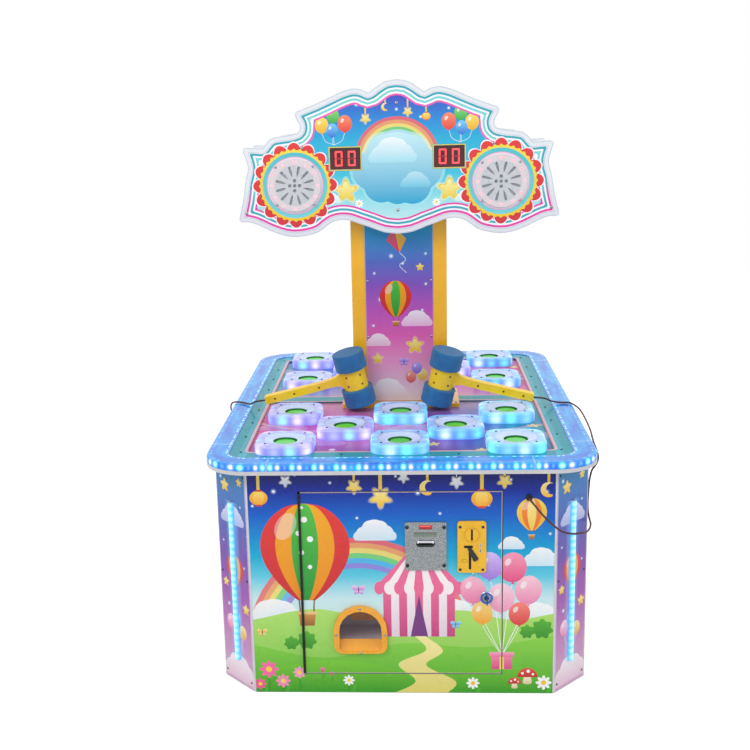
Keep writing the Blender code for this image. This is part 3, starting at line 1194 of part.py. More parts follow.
def cord(name, start, along, places, gland_x, face_y, look):
    out = -1.0 if face_y < 0.0 else 1.0
    lead = 3.0 * CORD_RADIUS
    gland_face = face_y + out * (GAP + GLAND_HEAD_LENGTH + GAP)
    end = Vector((gland_x, gland_face, GLAND_Z))
    points = [start + along * lead] + [Vector(point) for point in places]
    points.append(end + Vector((0.0, out * lead, 0.0)))
    line = [start + along * GAP] + thin(smooth(points, 8), CORD_SLACK) + [end]
    drawing = bpy.data.curves.new(name + "_route", "CURVE")
    drawing.dimensions = "3D"
    drawing.bevel_depth = CORD_RADIUS
    drawing.bevel_resolution = 2
    drawing.use_fill_caps = True
    spline = drawing.splines.new("POLY")
    spline.points.add(len(line) - 1)
    for point, place in zip(spline.points, line):
        point.co = (*place, 1.0)
    holder_object = bpy.data.objects.new(name + "_route", drawing)
    bpy.context.scene.collection.objects.link(holder_object)
    bpy.context.view_layer.update()
    graph = bpy.context.evaluated_depsgraph_get()
    mesh = bpy.data.meshes.new_from_object(holder_object.evaluated_get(graph))
    bpy.data.objects.remove(holder_object, do_unlink=True)
    bm = bmesh.new()
    bm.from_mesh(mesh)
    bpy.data.meshes.remove(mesh)
    bmesh.ops.remove_doubles(bm, verts=bm.verts, dist=GAP * 0.1)
    return finished(bm, name, look)


right_end, right_along = hammer("right", 1, HAMMER_RIGHT_X)
left_end, left_along = hammer("left", -1, HAMMER_LEFT_X)
right_route = route(right_end, 1.0, FRONT, RIGHT_OVER, RIGHT_BESIDE, RIGHT_PANEL)
left_route = route(left_end, -1.0, REAR, LEFT_OVER, LEFT_BESIDE, LEFT_PANEL)
cord("cord_right", right_end, right_along, right_route, GLAND_X, FRONT, RUBBER)
cord("cord_left", left_end, left_along, left_route, -GLAND_X, REAR, RUBBER)

for piece in MACHINE.objects:
    if piece.type == "MESH":
        piece.data.shade_smooth()
        piece.data.set_sharp_from_angle(angle=math.radians(35.0))
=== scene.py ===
import math

import bmesh
import bpy
from mathutils import Matrix, Vector
from mathutils.geometry import delaunay_2d_cdt


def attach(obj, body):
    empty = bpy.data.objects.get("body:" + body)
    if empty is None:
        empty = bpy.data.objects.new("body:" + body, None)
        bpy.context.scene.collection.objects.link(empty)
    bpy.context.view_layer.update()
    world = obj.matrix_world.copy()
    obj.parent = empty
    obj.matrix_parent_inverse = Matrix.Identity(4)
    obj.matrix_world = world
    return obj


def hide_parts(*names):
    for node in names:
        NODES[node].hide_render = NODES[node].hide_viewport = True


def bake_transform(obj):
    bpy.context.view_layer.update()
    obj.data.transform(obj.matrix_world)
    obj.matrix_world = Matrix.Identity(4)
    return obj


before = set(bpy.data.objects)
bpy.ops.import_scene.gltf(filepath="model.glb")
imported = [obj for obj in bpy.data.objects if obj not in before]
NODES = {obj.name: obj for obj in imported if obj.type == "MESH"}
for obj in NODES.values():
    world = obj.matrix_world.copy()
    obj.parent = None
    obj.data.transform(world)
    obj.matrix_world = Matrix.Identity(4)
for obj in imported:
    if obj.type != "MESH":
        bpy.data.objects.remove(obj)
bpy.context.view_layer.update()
scene = bpy.context.scene

# Places shared by several sections.
FRONT, LIFT = 0.560, 0.00015    # the shell's face, and how far prints lie off a face
GLAND_X, GLAND_Z = 0.2913, 0.4876
SPEAKER_X, SPEAKER_Z = 0.2604, 1.167
OUTLET_X = -0.0977
GAP = 0.0003


# ------------------------------------------------------------------ small tools
def placed(name, data):
    made = bpy.data.objects.new(name, data)
    scene.collection.objects.link(made)
    return made


def feed(node, sockets):
    # Links or sets inputs of a node, by name or number.
    for key, value in sockets.items():
        if isinstance(value, bpy.types.NodeSocket):
            node.id_data.links.new(value, node.inputs[key])
        else:
            node.inputs[key].default_value = value


def socketed(tree, kind, sockets=None, **settings):
    made = tree.nodes.new(kind)
    for key, value in settings.items():
        setattr(made, key, value)
    feed(made, sockets or {})
    return made


def rgb(code):
    # Linear colour of a code like "1a2b3c".
    shares = [int(code[i:i + 2], 16) / 255.0 for i in (0, 2, 4)]
    return tuple(s / 12.92 if s <= 0.04045 else ((s + 0.055) / 1.055) ** 2.4 for s in shares)


def new_material(name):
    made = bpy.data.materials.new(name)
    made.use_nodes = True
    return made, made.node_tree, made.node_tree.nodes["Principled BSDF"]


def noise(tree, scale, detail=3.0, stretch=(1, 1, 1), kind="Object", twist=0.0):
    coords = socketed(tree, "ShaderNodeTexCoord").outputs[kind]
    mapped = socketed(tree, "ShaderNodeMapping", {"Vector": coords, "Scale": stretch}).outputs[0]
    return socketed(tree, "ShaderNodeTexNoise",
        {"Vector": mapped, "Scale": scale, "Detail": detail, "Distortion": twist}).outputs["Fac"]


def parts_of(tree, kind):
    # X, Y and Z of a place, or U and V of a print.
    coords = socketed(tree, "ShaderNodeTexCoord").outputs[kind]
    return socketed(tree, "ShaderNodeSeparateXYZ", {0: coords}).outputs


def spread(tree, value, low=0.0, high=1.0, low_in=0.3, high_in=0.7):
    return socketed(tree, "ShaderNodeMapRange",
        {"Value": value, "From Min": low_in, "From Max": high_in, "To Min": low,
        "To Max": high}).outputs[0]


def calc(tree, operation, a, b=0.0, **settings):
    made = socketed(tree, "ShaderNodeMath", {0: a, 1: b}, operation=operation, **settings)
    return made.outputs[0]


def times(tree, a, b):
    return calc(tree, "MULTIPLY", a, b)


def less(tree, a, b):
    return calc(tree, "SUBTRACT", a, b)


def plus(tree, first, *others):
    for other in others:
        first = calc(tree, "ADD", first, other)
    return first


def blend_colour(tree, share, a, b, kind="MIX"):
    a, b = [v if isinstance(v, bpy.types.NodeSocket) else (*v, 1.0) for v in (a, b)]
    return socketed(tree, "ShaderNodeMix", {0: share, 6: a, 7: b}, data_type="RGBA",
        blend_type=kind).outputs[2]


def bumped(tree, height, strength, distance):
    return socketed(tree, "ShaderNodeBump",
        {"Height": height, "Strength": strength, "Distance": distance}).outputs[0]


def recolour(tree, shader, share, code):
    # Another colour over the present one, where share is 1.
    under = shader.inputs["Base Color"].links[0].from_socket
    feed(shader, {"Base Color": blend_colour(tree, share, under, rgb(code))})


def plain(name, code, rough, coat=0.0, metal=0.0, vary=0.1, grain=60.0, bump=0.1, fine=900.0,
        stretch=(1, 1, 1), glow=None):
    # One colour with cloudy variation, uneven gloss and a fine surface texture.
    made, tree, shader = new_material(name)
    cloudy = noise(tree, grain, 4.0, stretch)
    dark = [c * (1.0 - vary) for c in rgb(code)]
    light = [min(1.0, c * (1.0 + vary)) for c in rgb(code)]
    feed(shader, {"Base Color": blend_colour(tree, spread(tree, cloudy), dark, light),
        "Roughness": spread(tree, cloudy, max(0.03, rough - 0.05), rough + 0.06),
        "Metallic": metal, "Coat Weight": coat, "Coat Roughness": 0.08,
        "Normal": bumped(tree, noise(tree, fine, 2.0, stretch), bump, 0.0004)})
    if glow:
        feed(shader, {"Emission Color": (*rgb(glow[0]), 1.0), "Emission Strength": glow[1]})
    return made


def paint(look, *names):
    for name in names:
        for slot in NODES[name].material_slots:
            slot.material = look


def mesh_piece(name, verts, faces, looks, body, uvs=None, angle=35.0, slots=None, turn_out=False):
    # Smooth but for edges sharper than the angle; turn_out makes all faces look outwards.
    mesh = bpy.data.meshes.new(name)
    mesh.from_pydata(verts, [], faces)
    for look in looks if isinstance(looks, (list, tuple)) else [looks]:
        mesh.materials.append(look)
    if slots:
        mesh.polygons.foreach_set("material_index", slots)
    if uvs:
        layer = mesh.uv_layers.new(name="UVMap")
        for loop in mesh.loops:
            layer.data[loop.index].uv = uvs[loop.vertex_index]
    if angle:
        mesh.shade_smooth()
        mesh.set_sharp_from_angle(angle=math.radians(angle))
    if turn_out:
        bm = bmesh.new()
        bm.from_mesh(mesh)
        bmesh.ops.recalc_face_normals(bm, faces=bm.faces)
        bm.to_mesh(mesh)
        bm.free()
    made = placed(name, mesh)
    if body:
        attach(made, body)
    return made


def quads(rows, columns, start=0, closed=True):
    # Faces between neighbouring rows of points, row by row.
    faces = []
    for k in range(rows - 1):
        first = start + k * columns
        for i in range(columns if closed else columns - 1):
            j = (i + 1) % columns
            faces.append((first + i, first + j, first + columns + j, first + columns + i))
    return faces


def angles(count, first=0.0):
    return [2 * math.pi * i / count + first for i in range(count)]


def on_circle(radius, angle, x=0.0, y=0.0):
    return x + radius * math.cos(angle), y + radius * math.sin(angle)


def smooth_line(points, per_span):
    vectors = [Vector(point) for point in points]
    padded = [vectors[0] * 2 - vectors[1]] + vectors + [vectors[-1] * 2 - vectors[-2]]
    curve = []
    for i in range(1, len(padded) - 2):
        a, b, c, d = padded[i - 1:i + 3]
        for step in range(per_span):
            t = step / per_span
            curve.append(0.5 * (2 * b + (c - a) * t + (2 * a - 5 * b + 4 * c - d) * t * t
                + (3 * b - a - 3 * c + d) * t * t * t))
    return curve + [vectors[-1]]


# --------------------------------------------------------------- camera, light
# Fitted to the photograph: turns in radians, lengths in pixels of its frame.
YAW, PITCH, ROLL = -0.0631, 0.2267, -0.0268
FOCAL_PX, FRAME_PX, CENTRE_PX = 1134.264, 750.0, (340.93, 368.41)
SENSOR, CAMERA_AT = 36.0, (0.0277, -3.014, 1.3596)
forward = Vector((math.sin(YAW) * math.cos(PITCH), math.cos(YAW) * math.cos(PITCH),
    -math.sin(PITCH)))
level = Vector((math.cos(YAW), -math.sin(YAW), 0.0))
upward = level.cross(forward)
right = math.cos(ROLL) * level + math.sin(ROLL) * upward
up = -math.sin(ROLL) * level + math.cos(ROLL) * upward
camera = bpy.data.cameras.new("camera")
camera.sensor_width = SENSOR
camera.lens = FOCAL_PX / FRAME_PX * SENSOR
camera.shift_x = (FRAME_PX / 2 - CENTRE_PX[0]) / FRAME_PX
camera.shift_y = (CENTRE_PX[1] - FRAME_PX / 2) / FRAME_PX
scene.camera = placed("camera", camera)
scene.camera.matrix_world = (Matrix.Translation(CAMERA_AT)
    @ Matrix((right, up, -forward)).transposed().to_4x4())
scene.view_settings.view_transform = "Standard"

# The world is white for the camera and in mirrors, and a weaker fill for the rest.
world = bpy.data.worlds.new("studio")
world.use_nodes = True
tree = world.node_tree
tree.nodes.clear()
seen, fill = [socketed(tree, "ShaderNodeBackground", {"Color": (1, 1, 1, 1), "Strength": strength})
    for strength in (1.0, 0.56)]
rays = socketed(tree, "ShaderNodeLightPath").outputs
shown = calc(tree, "ADD", rays["Is Camera Ray"], rays["Is Transmission Ray"])
shown = calc(tree, "ADD", shown, rays["Is Glossy Ray"], use_clamp=True)
both = socketed(tree, "ShaderNodeMixShader", {0: shown, 1: fill.outputs[0], 2: seen.outputs[0]})
socketed(tree, "ShaderNodeOutputWorld", {"Surface": both.outputs[0]})
scene.world = world

for name, place, size, power, mirrored in (("key_light", (-1.7, -2.6, 3.0), (2.2, 1.4), 50, True),
        ("side_light", (2.4, -1.6, 2.2), (1.4, 1.8), 20, True),
        ("top_light", (0.0, 0.6, 3.4), (2.4, 2.0), 24, False),
        ("rear_light", (0.4, 3.0, 2.2), (2.4, 1.6), 20, False)):
    data = bpy.data.lights.new(name, "AREA")
    data.shape = "RECTANGLE"
    data.size, data.size_y = size
    data.energy = power
    made = placed(name, data)
    made.location = place
    made.visible_glossy = mirrored
    aim = Vector((0.0, 0.0, 0.6)) - Vector(place)
    made.rotation_euler = aim.to_track_quat("-Z", "Y").to_euler()

# ------------------------------------------------------------------------ cords
CORD_RADIUS, CORD_SIDES = 0.0023, 12
RIGHT_ROUTE = [(0.375, -0.118, 0.6035), (0.4, -0.092, 0.588), (0.425, -0.088, 0.5835),
    (0.446, -0.094, 0.5838), (0.4625, -0.14, 0.58), (0.4675, -0.205, 0.5735),
    (0.468, -0.29, 0.5665), (0.4635, -0.368, 0.5605), (0.4635, -0.422, 0.553),
    (0.4625, -0.448, 0.543), (0.456, -0.456, 0.53), (0.447, -0.46, 0.519), (0.442, -0.463, 0.501),
    (0.4403, -0.463, 0.484), (0.44, -0.458, 0.46), (0.44, -0.453, 0.435), (0.4408, -0.457, 0.413),
    (0.4422, -0.474, 0.4), (0.4408, -0.497, 0.3995), (0.433, -0.53, 0.4), (0.42, -0.562, 0.404),
    (0.406, -0.579, 0.409), (0.386, -0.585, 0.4095), (0.359, -0.587, 0.418),
    (0.323, -0.587, 0.451), (0.302, -0.582, 0.476), (0.2925, -0.574, 0.486)]
LEFT_ROUTE = [(-0.385, -0.12, 0.603), (-0.404, -0.082, 0.587), (-0.425, -0.055, 0.5835),
    (-0.446, -0.046, 0.5838), (-0.459, -0.042, 0.58), (-0.4645, -0.037, 0.57),
    (-0.465, -0.029, 0.555), (-0.463, -0.014, 0.537), (-0.459, 0.01, 0.516),
    (-0.452, 0.048, 0.489), (-0.446, 0.095, 0.464), (-0.442, 0.15, 0.442), (-0.4405, 0.21, 0.425),
    (-0.44, 0.28, 0.412), (-0.44, 0.35, 0.404), (-0.4402, 0.42, 0.4), (-0.4422, 0.467, 0.399),
    (-0.4405, 0.5, 0.3995), (-0.432, 0.533, 0.401), (-0.419, 0.562, 0.404), (-0.401, 0.581, 0.408),
    (-0.38, 0.588, 0.413), (-0.355, 0.589, 0.424), (-0.323, 0.587, 0.451), (-0.302, 0.582, 0.476),
    (-0.2925, 0.574, 0.486)]
HAMMER_TILT, HAMMER_LEAN, HAMMER_YAW = 0.23, -0.105, -0.05
HAMMER_Y, HAMMER_Z, HANDLE_REACH = -0.1055, 0.662, 0.2435
HAMMER_X = {"right": 0.11, "left": -0.1216}
SIDES = {"right": 1, "left": -1}


def hammer_frame(label):
    side = SIDES[label]
    axis = Vector((side * math.sin(HAMMER_TILT) * math.cos(HAMMER_LEAN), math.sin(HAMMER_LEAN),
        math.cos(HAMMER_TILT) * math.cos(HAMMER_LEAN)))
    along = Vector((side * math.cos(HAMMER_YAW), math.sin(HAMMER_YAW), 0.0))
    along = (along - axis * along.dot(axis)).normalized()
    turn = Matrix((along, axis.cross(along), axis)).transposed().to_4x4()
    return Matrix.Translation((HAMMER_X[label], HAMMER_Y, HAMMER_Z)) @ turn, along


rubber = plain("cord_rubber", "4a2226", 0.5, vary=0.25, grain=40.0, bump=0.25, fine=1500.0)


def tube(name, line, radius, sides, look, body):
    verts, normal = [], None
    for i, point in enumerate(line):
        ahead = (line[min(i + 1, len(line) - 1)] - line[max(i - 1, 0)]).normalized()
        if normal is None:
            normal = ahead.orthogonal().normalized()
        normal = (normal - ahead * normal.dot(ahead)).normalized()
        other = ahead.cross(normal)
        for a in angles(sides):
            verts.append(point + radius * (math.cos(a) * normal + math.sin(a) * other))
    last = (len(line) - 1) * sides
    ends = [tuple(reversed(range(sides))), tuple(range(last, last + sides))]
    return mesh_piece(name, verts, quads(len(line), sides) + ends, look, body)


# A cord runs as one tube along its route from its end in the hammer's handle to its gland on the
# shell.
for label, route, low_point in (("right", RIGHT_ROUTE, (0.4635, -0.422, 0.553)),
        ("left", LEFT_ROUTE, (-0.4405, 0.21, 0.425))):
    side, out = SIDES[label], -SIDES[label]
    hammer_place, along = hammer_frame(label)
    start = hammer_place.translation + along * HANDLE_REACH
    lead = 3.0 * CORD_RADIUS
    end = Vector((side * GLAND_X, out * (FRONT + GAP + 0.006 + GAP), GLAND_Z))
    line = [start + along * lead] + [Vector(p) for p in route] + [end + Vector((0, out * lead, 0))]
    line = [start + along * GAP] + smooth_line(line, 6) + [end]
    line.reverse()
    cord = tube("cord_" + label + "_skin", line, CORD_RADIUS, CORD_SIDES, rubber, None)
    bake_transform(cord)
    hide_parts("cord_" + label)
    total = sum((b - a).length for a, b in zip(line, line[1:]))


# ----------------------------------------------------------------------- prints
# A print is a list of inks (loop, colour, colour at the far end, gradient ends)
# laid over each other on a flat region that may have holes.
def ink(sheet, loop, first, second=None, ends=None, strength=1.0, fade=None):
    a = (*rgb(first), strength)
    b = (*rgb(second or first), strength if fade is None else fade)
    if (second or fade is not None) and ends is None:
        tall = [p[1] for p in loop]
        ends = ((0, max(tall)), (0, min(tall)))
    sheet.append((loop, a, b, ends))


def ink_at(item, point):
    loop, a, b, ends = item
    if ends is None:
        return a
    (x0, y0), (x1, y1) = ends
    dx, dy = x1 - x0, y1 - y0
    share = ((point[0] - x0) * dx + (point[1] - y0) * dy) / (dx * dx + dy * dy)
    share = min(1.0, max(0.0, share))
    return tuple(p + (q - p) * share for p, q in zip(a, b))


def ink_ramp(sheet, left, right, stops):
    # Colours at heights, from the top down.
    for (high, first), (low, second) in zip(stops, stops[1:]):
        ink(sheet, [(left, low), (right, low), (right, high), (left, high)], first, second)


def printed(name, regions, holes, sheet, origin, across, upwards, look, body, thickness=0.0):
    points, faces = [], []

    def take(loop):
        # Each loop goes in anticlockwise and without repeated points.
        loop = [Vector(p[:2]) for p in loop]
        loop = [p for p, q in zip(loop, loop[1:] + loop[:1]) if (p - q).length > 1e-6]
        area = sum(p.x * q.y - q.x * p.y for p, q in zip(loop, loop[1:] + loop[:1]))
        start = len(points)
        points.extend(loop if area > 0 else reversed(loop))
        faces.append(list(range(start, len(points))))

    for loop in regions + holes + [item[0] for item in sheet]:
        take(loop)
    verts, _, tris, _, _, sources = delaunay_2d_cdt(points, [], faces, 1, 1e-6, True)
    inside, outside = len(regions), len(regions) + len(holes)
    kept, colours, used = [], [], {}
    for tri, source in zip(tris, sources):
        if not any(s < inside for s in source) or any(inside <= s < outside for s in source):
            continue
        layers = [sheet[s - outside] for s in sorted(source) if s >= outside]
        kept.append([used.setdefault(v, len(used)) for v in tri])
        for v in tri:
            colour = (0.5, 0.5, 0.5)
            for layer in layers:
                r, g, b, a = ink_at(layer, verts[v])
                colour = tuple(a * n + (1 - a) * o for n, o in zip((r, g, b), colour))
            colours.extend((*colour, 1.0))
    origin, across, upwards = Vector(origin), Vector(across), Vector(upwards)
    flat = [None] * len(used)
    for v, index in used.items():
        flat[index] = verts[v]
    mesh = bpy.data.meshes.new(name)
    mesh.from_pydata([origin + across * p[0] + upwards * p[1] for p in flat], [], kept)
    layer = mesh.color_attributes.new("ink", "FLOAT_COLOR", "CORNER")
    layer.data.foreach_set("color", colours)
    lay = mesh.uv_layers.new(name="UVMap")
    for loop in mesh.loops:
        lay.data[loop.index].uv = flat[loop.vertex_index][:2]
    mesh.materials.append(look)
    if across.cross(upwards).dot(mesh.polygons[0].normal) < 0:
        mesh.flip_normals()
    made = placed(name, mesh)
    if thickness:
        solid = made.modifiers.new("thickness", "SOLIDIFY")
        solid.thickness = thickness
        solid.offset = -1.0
    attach(made, body)
    return made


def front_print(name, regions, holes, sheet, depth, look, body):
    # A print on a plane of constant Y that faces the front.
    return printed(name, regions, holes, sheet, (0, depth, 0), (1, 0, 0), (0, 0, 1), look, body)


def print_look(name, rough=0.28, coat=0.1, glow=0.0, waves=0.015, grain=0.03, deep=0.94,
        gloss=0.28):
    made, tree, shader = new_material(name)
    colour = socketed(tree, "ShaderNodeAttribute", attribute_name="ink").outputs["Color"]
    dots = noise(tree, 1400.0, 2.0)
    shade = socketed(tree, "ShaderNodeCombineColor",
        {i: spread(tree, dots, 1.0 - grain, 1.0 + grain) for i in range(3)}).outputs[0]
    base = blend_colour(tree, 1.0, colour, (deep, deep, deep), "MULTIPLY")
    base = blend_colour(tree, 1.0, base, shade, "MULTIPLY")
    feed(shader, {"Base Color": base, "Coat Weight": coat, "Coat Roughness": 0.05,
        "Roughness": spread(tree, noise(tree, 22.0, 4.0), rough - 0.04, rough + 0.08),
        "Specular IOR Level": gloss, "Normal": bumped(tree, noise(tree, 9.0, 2.0), waves, 0.01)})
    if glow:
        feed(shader, {"Emission Color": base, "Emission Strength": glow})
    return made


film = print_look("printed_film")
wet_print = print_look("playfield_print", rough=0.22, coat=0.06, waves=0.01, gloss=0.12, deep=0.84)
acrylic_print = print_look("marquee_print", rough=0.16, coat=0.5, glow=0.06)
border_film = print_look("border_print", rough=0.22, coat=0.05, gloss=0.14)


def oval(x, y, rx, ry=None, count=24, turn=0.0):
    ry = rx if ry is None else ry
    c, s = math.cos(turn), math.sin(turn)
    loop = []
    for a in angles(count):
        px, py = rx * math.cos(a), ry * math.sin(a)
        loop.append((x + c * px - s * py, y + s * px + c * py))
    return loop


def lobed(x, y, radius, lobes, depth, turn=math.pi / 2, count=60, power=1.0):
    # A round shape with lobes: puffy stars, flowers and zig-zag rings.
    loop = []
    for a in angles(count):
        wave = (0.5 + 0.5 * math.cos(lobes * (a - turn))) ** power
        loop.append(on_circle(radius * (1 - depth + depth * wave), a, x, y))
    return loop


def scaled(x, y, size, places):
    # A loop whose points are given in sizes from its middle.
    return [(x + size * a, y + size * b) for a, b in places]


def ribbon(points, width):
    line = [Vector(p) for p in points]
    left, right_side = [], []
    for i, p in enumerate(line):
        ahead = (line[min(i + 1, len(line) - 1)] - line[max(i - 1, 0)]).normalized()
        side = Vector((-ahead.y, ahead.x)) * width * 0.5
        left.append(tuple(p + side))
        right_side.append(tuple(p - side))
    return left + right_side[::-1]


def curve2(points, per_span=6):
    return [(p.x, p.y) for p in smooth_line([(a, b, 0.0) for a, b in points], per_span)]


def arc(x, y, radius, start, sweep, count=20):
    return [on_circle(radius, start + sweep * i / count, x, y) for i in range(count + 1)]


def cloud_loop(x, y, width, puffs=((0, 0.1, 0.3), (-0.27, 0.0, 0.21), (0.26, 0.02, 0.23),
        (-0.1, 0.16, 0.22), (0.13, 0.15, 0.22), (-0.42, -0.06, 0.13), (0.42, -0.05, 0.14)),
        count=80, flat=True):
    loop = []
    for a in angles(count):
        ux, uy = math.cos(a), math.sin(a)
        best = 0.02
        for cx, cy, r in puffs:
            along = cx * ux + cy * uy
            under = r * r - (cx * cx + cy * cy - along * along)
            if under > 0:
                best = max(best, along + math.sqrt(under))
        if flat and uy < -0.2:
            best = min(best, 0.17 / -uy)
        loop.append((x + width * best * ux, y + width * best * uy))
    return loop


def cloud(sheet, x, y, width, top="ffffff", foot="d5ecfa", strength=1.0):
    ink(sheet, cloud_loop(x, y, width), top, foot, strength=strength)


def sparkle(sheet, x, y, radius):
    for i in range(3):
        ink(sheet, oval(x, y, radius * 2.2 * (1 - i / 3), count=20), "bfe6ff", strength=0.2)
    ink(sheet, oval(x, y, radius, count=12), "ffffff")


def star(sheet, x, y, radius, light="fff2a0", deep="f6c62c", turn=math.pi / 2, halo=True):
    if halo:
        for grow, strength in ((1.28, 0.18), (1.16, 0.25), (1.07, 0.35)):
            ink(sheet, lobed(x, y, radius * grow, 5, 0.42, turn), "fff6b8", strength=strength)
    ink(sheet, lobed(x, y, radius, 5, 0.45, turn), deep)
    ink(sheet, lobed(x, y, radius * 0.82, 5, 0.45, turn), light, deep)


def hanging(sheet, x, top, drop, radius, kind):
    # An ornament on a strip: a puffy star, a paper lantern or a crescent.
    pale = kind == "pale"
    code, deep = ("eef3ff", "c9d8f5") if pale else ("fbe77a", "f2c433")
    ink(sheet, ribbon([(x, top), (x, top - drop)], radius * (0.16 if pale else 0.34)), code, deep)
    y = top - drop - radius * 0.8
    if kind in ("star", "pale"):
        star(sheet, x, y, radius, "ffffff" if pale else "fff2a0", deep, -math.pi / 2)
    elif kind == "lantern":
        ink(sheet, oval(x, y, radius, radius * 0.86), "ffd23c", "f08a1c")
        for share in (0.62, 0.24):
            ink(sheet, oval(x, y, radius * share, radius * 0.86), "ffe67a", "f6a52c")
        for side in (1, -1):
            ink(sheet, scaled(x, y, radius, box(-0.34, 0.34, side * 0.74, side * 0.95)), "d8452c")
    else:
        outer = arc(x, y, radius, math.pi * 0.35, math.pi * 1.3, 24)
        inner = arc(x + radius * 0.42, y + radius * 0.12, radius * 0.74, math.pi * 1.55,
            -math.pi * 1.12, 20)
        ink(sheet, outer + inner, "fff09a", "f4bb2e")


ENVELOPE = [(0.001, 1.0), (0.38, 0.93), (0.7, 0.71), (0.92, 0.38), (1.0, 0.0), (0.93, -0.38),
    (0.72, -0.76), (0.45, -1.08), (0.2, -1.3)]


def air_balloon(sheet, x, y, radius, codes, dots=()):
    # Three envelopes inside each other, each with its light and deep colour.
    half = curve2(ENVELOPE, 4)
    for share, (light, deep) in zip((1.0, 0.66, 0.3), codes):
        loop = [(x + radius * share * w, y + radius * h) for w, h in half]
        loop += [(x - radius * share * w, y + radius * h) for w, h in reversed(half)]
        ink(sheet, loop, light, deep)
    for side in (-1, 1):
        ink(sheet, ribbon(scaled(x, y, radius, ((side * 0.17, -1.28), (side * 0.15, -1.62))),
            radius * 0.03), "7a5230")
    basket = ((-0.2, -1.6), (0.2, -1.6), (0.16, -1.92), (-0.16, -1.92))
    ink(sheet, scaled(x, y, radius, basket), "d99a4e", "9c6430")
    ink(sheet, ribbon(scaled(x, y, radius, ((-0.22, -1.61), (0.22, -1.61))), radius * 0.07),
        "f2c98a")
    for dx, dy, r in dots:
        ink(sheet, oval(x + dx * radius, y + dy * radius, r * radius, count=16), "ffffff",
            strength=0.92)
    ink(sheet, oval(x - radius * 0.42, y + radius * 0.46, radius * 0.22, radius * 0.34, 20, -0.5),
        "ffffff", strength=0.28)


def party_balloon(sheet, x, y, radius, light, deep, foot, lean=0.0):
    string = [(x, y - radius), (x + (foot[0] - x) * 0.3, y - radius * 2), foot]
    ink(sheet, ribbon(curve2(string), radius * 0.05), "ffffff", strength=0.85)
    ink(sheet, oval(x, y, radius * 0.86, radius, 28, lean), light, deep)
    ink(sheet, scaled(x, y, radius, ((-0.13, -1.12), (0.13, -1.12), (0, -0.94))), deep)
    ink(sheet, oval(x - radius * 0.3, y + radius * 0.36, radius * 0.18, radius * 0.28, 16, -0.5),
        "ffffff", strength=0.6)


RAINBOW = ("f0605a", "f8a24a", "fbe05a", "7fd66a", "5ab8ee", "9a7fe0")


def rainbow(sheet, x, y, outer, band, start, sweep):
    for i, code in enumerate(RAINBOW):
        r = outer - i * band
        ink(sheet, arc(x, y, r, start, sweep, 28) + arc(x, y, r - band, start + sweep, -sweep, 28),
            code, strength=0.85)


def daisy(sheet, x, y, radius, petal, heart):
    ink(sheet, lobed(x, y, radius, 8, 0.42, count=64, power=0.6), petal)
    ink(sheet, oval(x, y, radius * 0.32, count=14), heart)


def stem(sheet, x, y, height):
    ink(sheet, ribbon(curve2([(x, y), (x, y + height * 0.5), (x, y + height)]), height * 0.07),
        "3f9a2c")
    leaf = ((0, 0.15), (0.28, 0.45), (0.34, 0.8), (0.12, 0.5), (0, 0.15))
    ink(sheet, curve2(scaled(x, y, height, leaf), 3), "5fc23c", "3f9a2c")


def tulip(sheet, x, y, size):
    stem(sheet, x, y - size * 2.3, size * 2.0)
    bloom = ((-0.5, 0.5), (-0.2, 0.2), (0, 0.6), (0.2, 0.2), (0.5, 0.5), (0.42, -0.35), (0, -0.55),
        (-0.42, -0.35), (-0.5, 0.5))
    ink(sheet, curve2(scaled(x, y, size, bloom), 3), "ff8fb8", "e0457f")


def tent(sheet, x, y, width, height, deep="f06a9c"):
    # Striped walls and roof, then the scallops between them, a door and a flag.
    roof, eave, half, bands, pale = y + height, y + height * 0.52, width * 0.5, 9, "fff4f8"
    for i in range(bands):
        a, b = -half + width * i / bands, -half + width * (i + 1) / bands
        ink(sheet, box(x + a * 0.9, x + b * 0.9, y, eave), pale if i % 2 else deep,
            "e9d3e6" if i % 2 else "c94a86")
        ink(sheet, [(x + a * 1.12, eave), (x + b * 1.12, eave), (x + b * 0.03, roof),
            (x + a * 0.03, roof)], pale if i % 2 else deep)
    for i in range(bands):
        middle = -half + width * (i + 0.5) / bands
        ink(sheet, oval(x + middle * 1.12, eave, width * 0.56 / bands, height * 0.07, 14),
            pale if i % 2 else deep)
    ink(sheet, [(x - half * 0.22, y), (x + half * 0.22, y), (x, eave - height * 0.08)], "7a3f86")
    ink(sheet, ribbon([(x, roof - height * 0.02), (x, roof + height * 0.16)], width * 0.012),
        "8a5a3c")
    ink(sheet, [(x, roof + height * 0.16), (x + width * 0.12, roof + height * 0.12),
        (x, roof + height * 0.07)], "ffd23c", "f6a52c")


def mushroom(sheet, x, y, size):
    stalk = ((-0.2, 0.5), (-0.26, 0), (0.26, 0), (0.2, 0.5))
    ink(sheet, curve2(scaled(x, y, size, stalk), 3), "fff4dc", "e6cfa4")
    ink(sheet, arc(x, y + size * 0.42, size * 0.62, 0, math.pi, 18), "f0524a", "c4302e")
    for dx, dy, r in ((-0.3, 0.68, 0.09), (0.05, 0.82, 0.11), (0.34, 0.62, 0.08)):
        ink(sheet, oval(x + dx * size, y + dy * size, r * size, count=12), "ffffff")


def hill(sheet, points, light, deep):
    line = curve2(points, 5)
    ink(sheet, line + [(line[-1][0], -0.01), (line[0][0], -0.01)], light, deep)


def butterfly(sheet, x, y, size, light, deep):
    for side in (-1, 1):
        ink(sheet, oval(x + side * size * 0.45, y + size * 0.28, size * 0.46, size * 0.34, 18,
            side * 0.6), light, deep)
        ink(sheet, oval(x + side * size * 0.34, y - size * 0.3, size * 0.3, size * 0.26, 14,
            -side * 0.6), light, deep)
    ink(sheet, oval(x, y, size * 0.07, size * 0.5, 10), "5a3a6a")


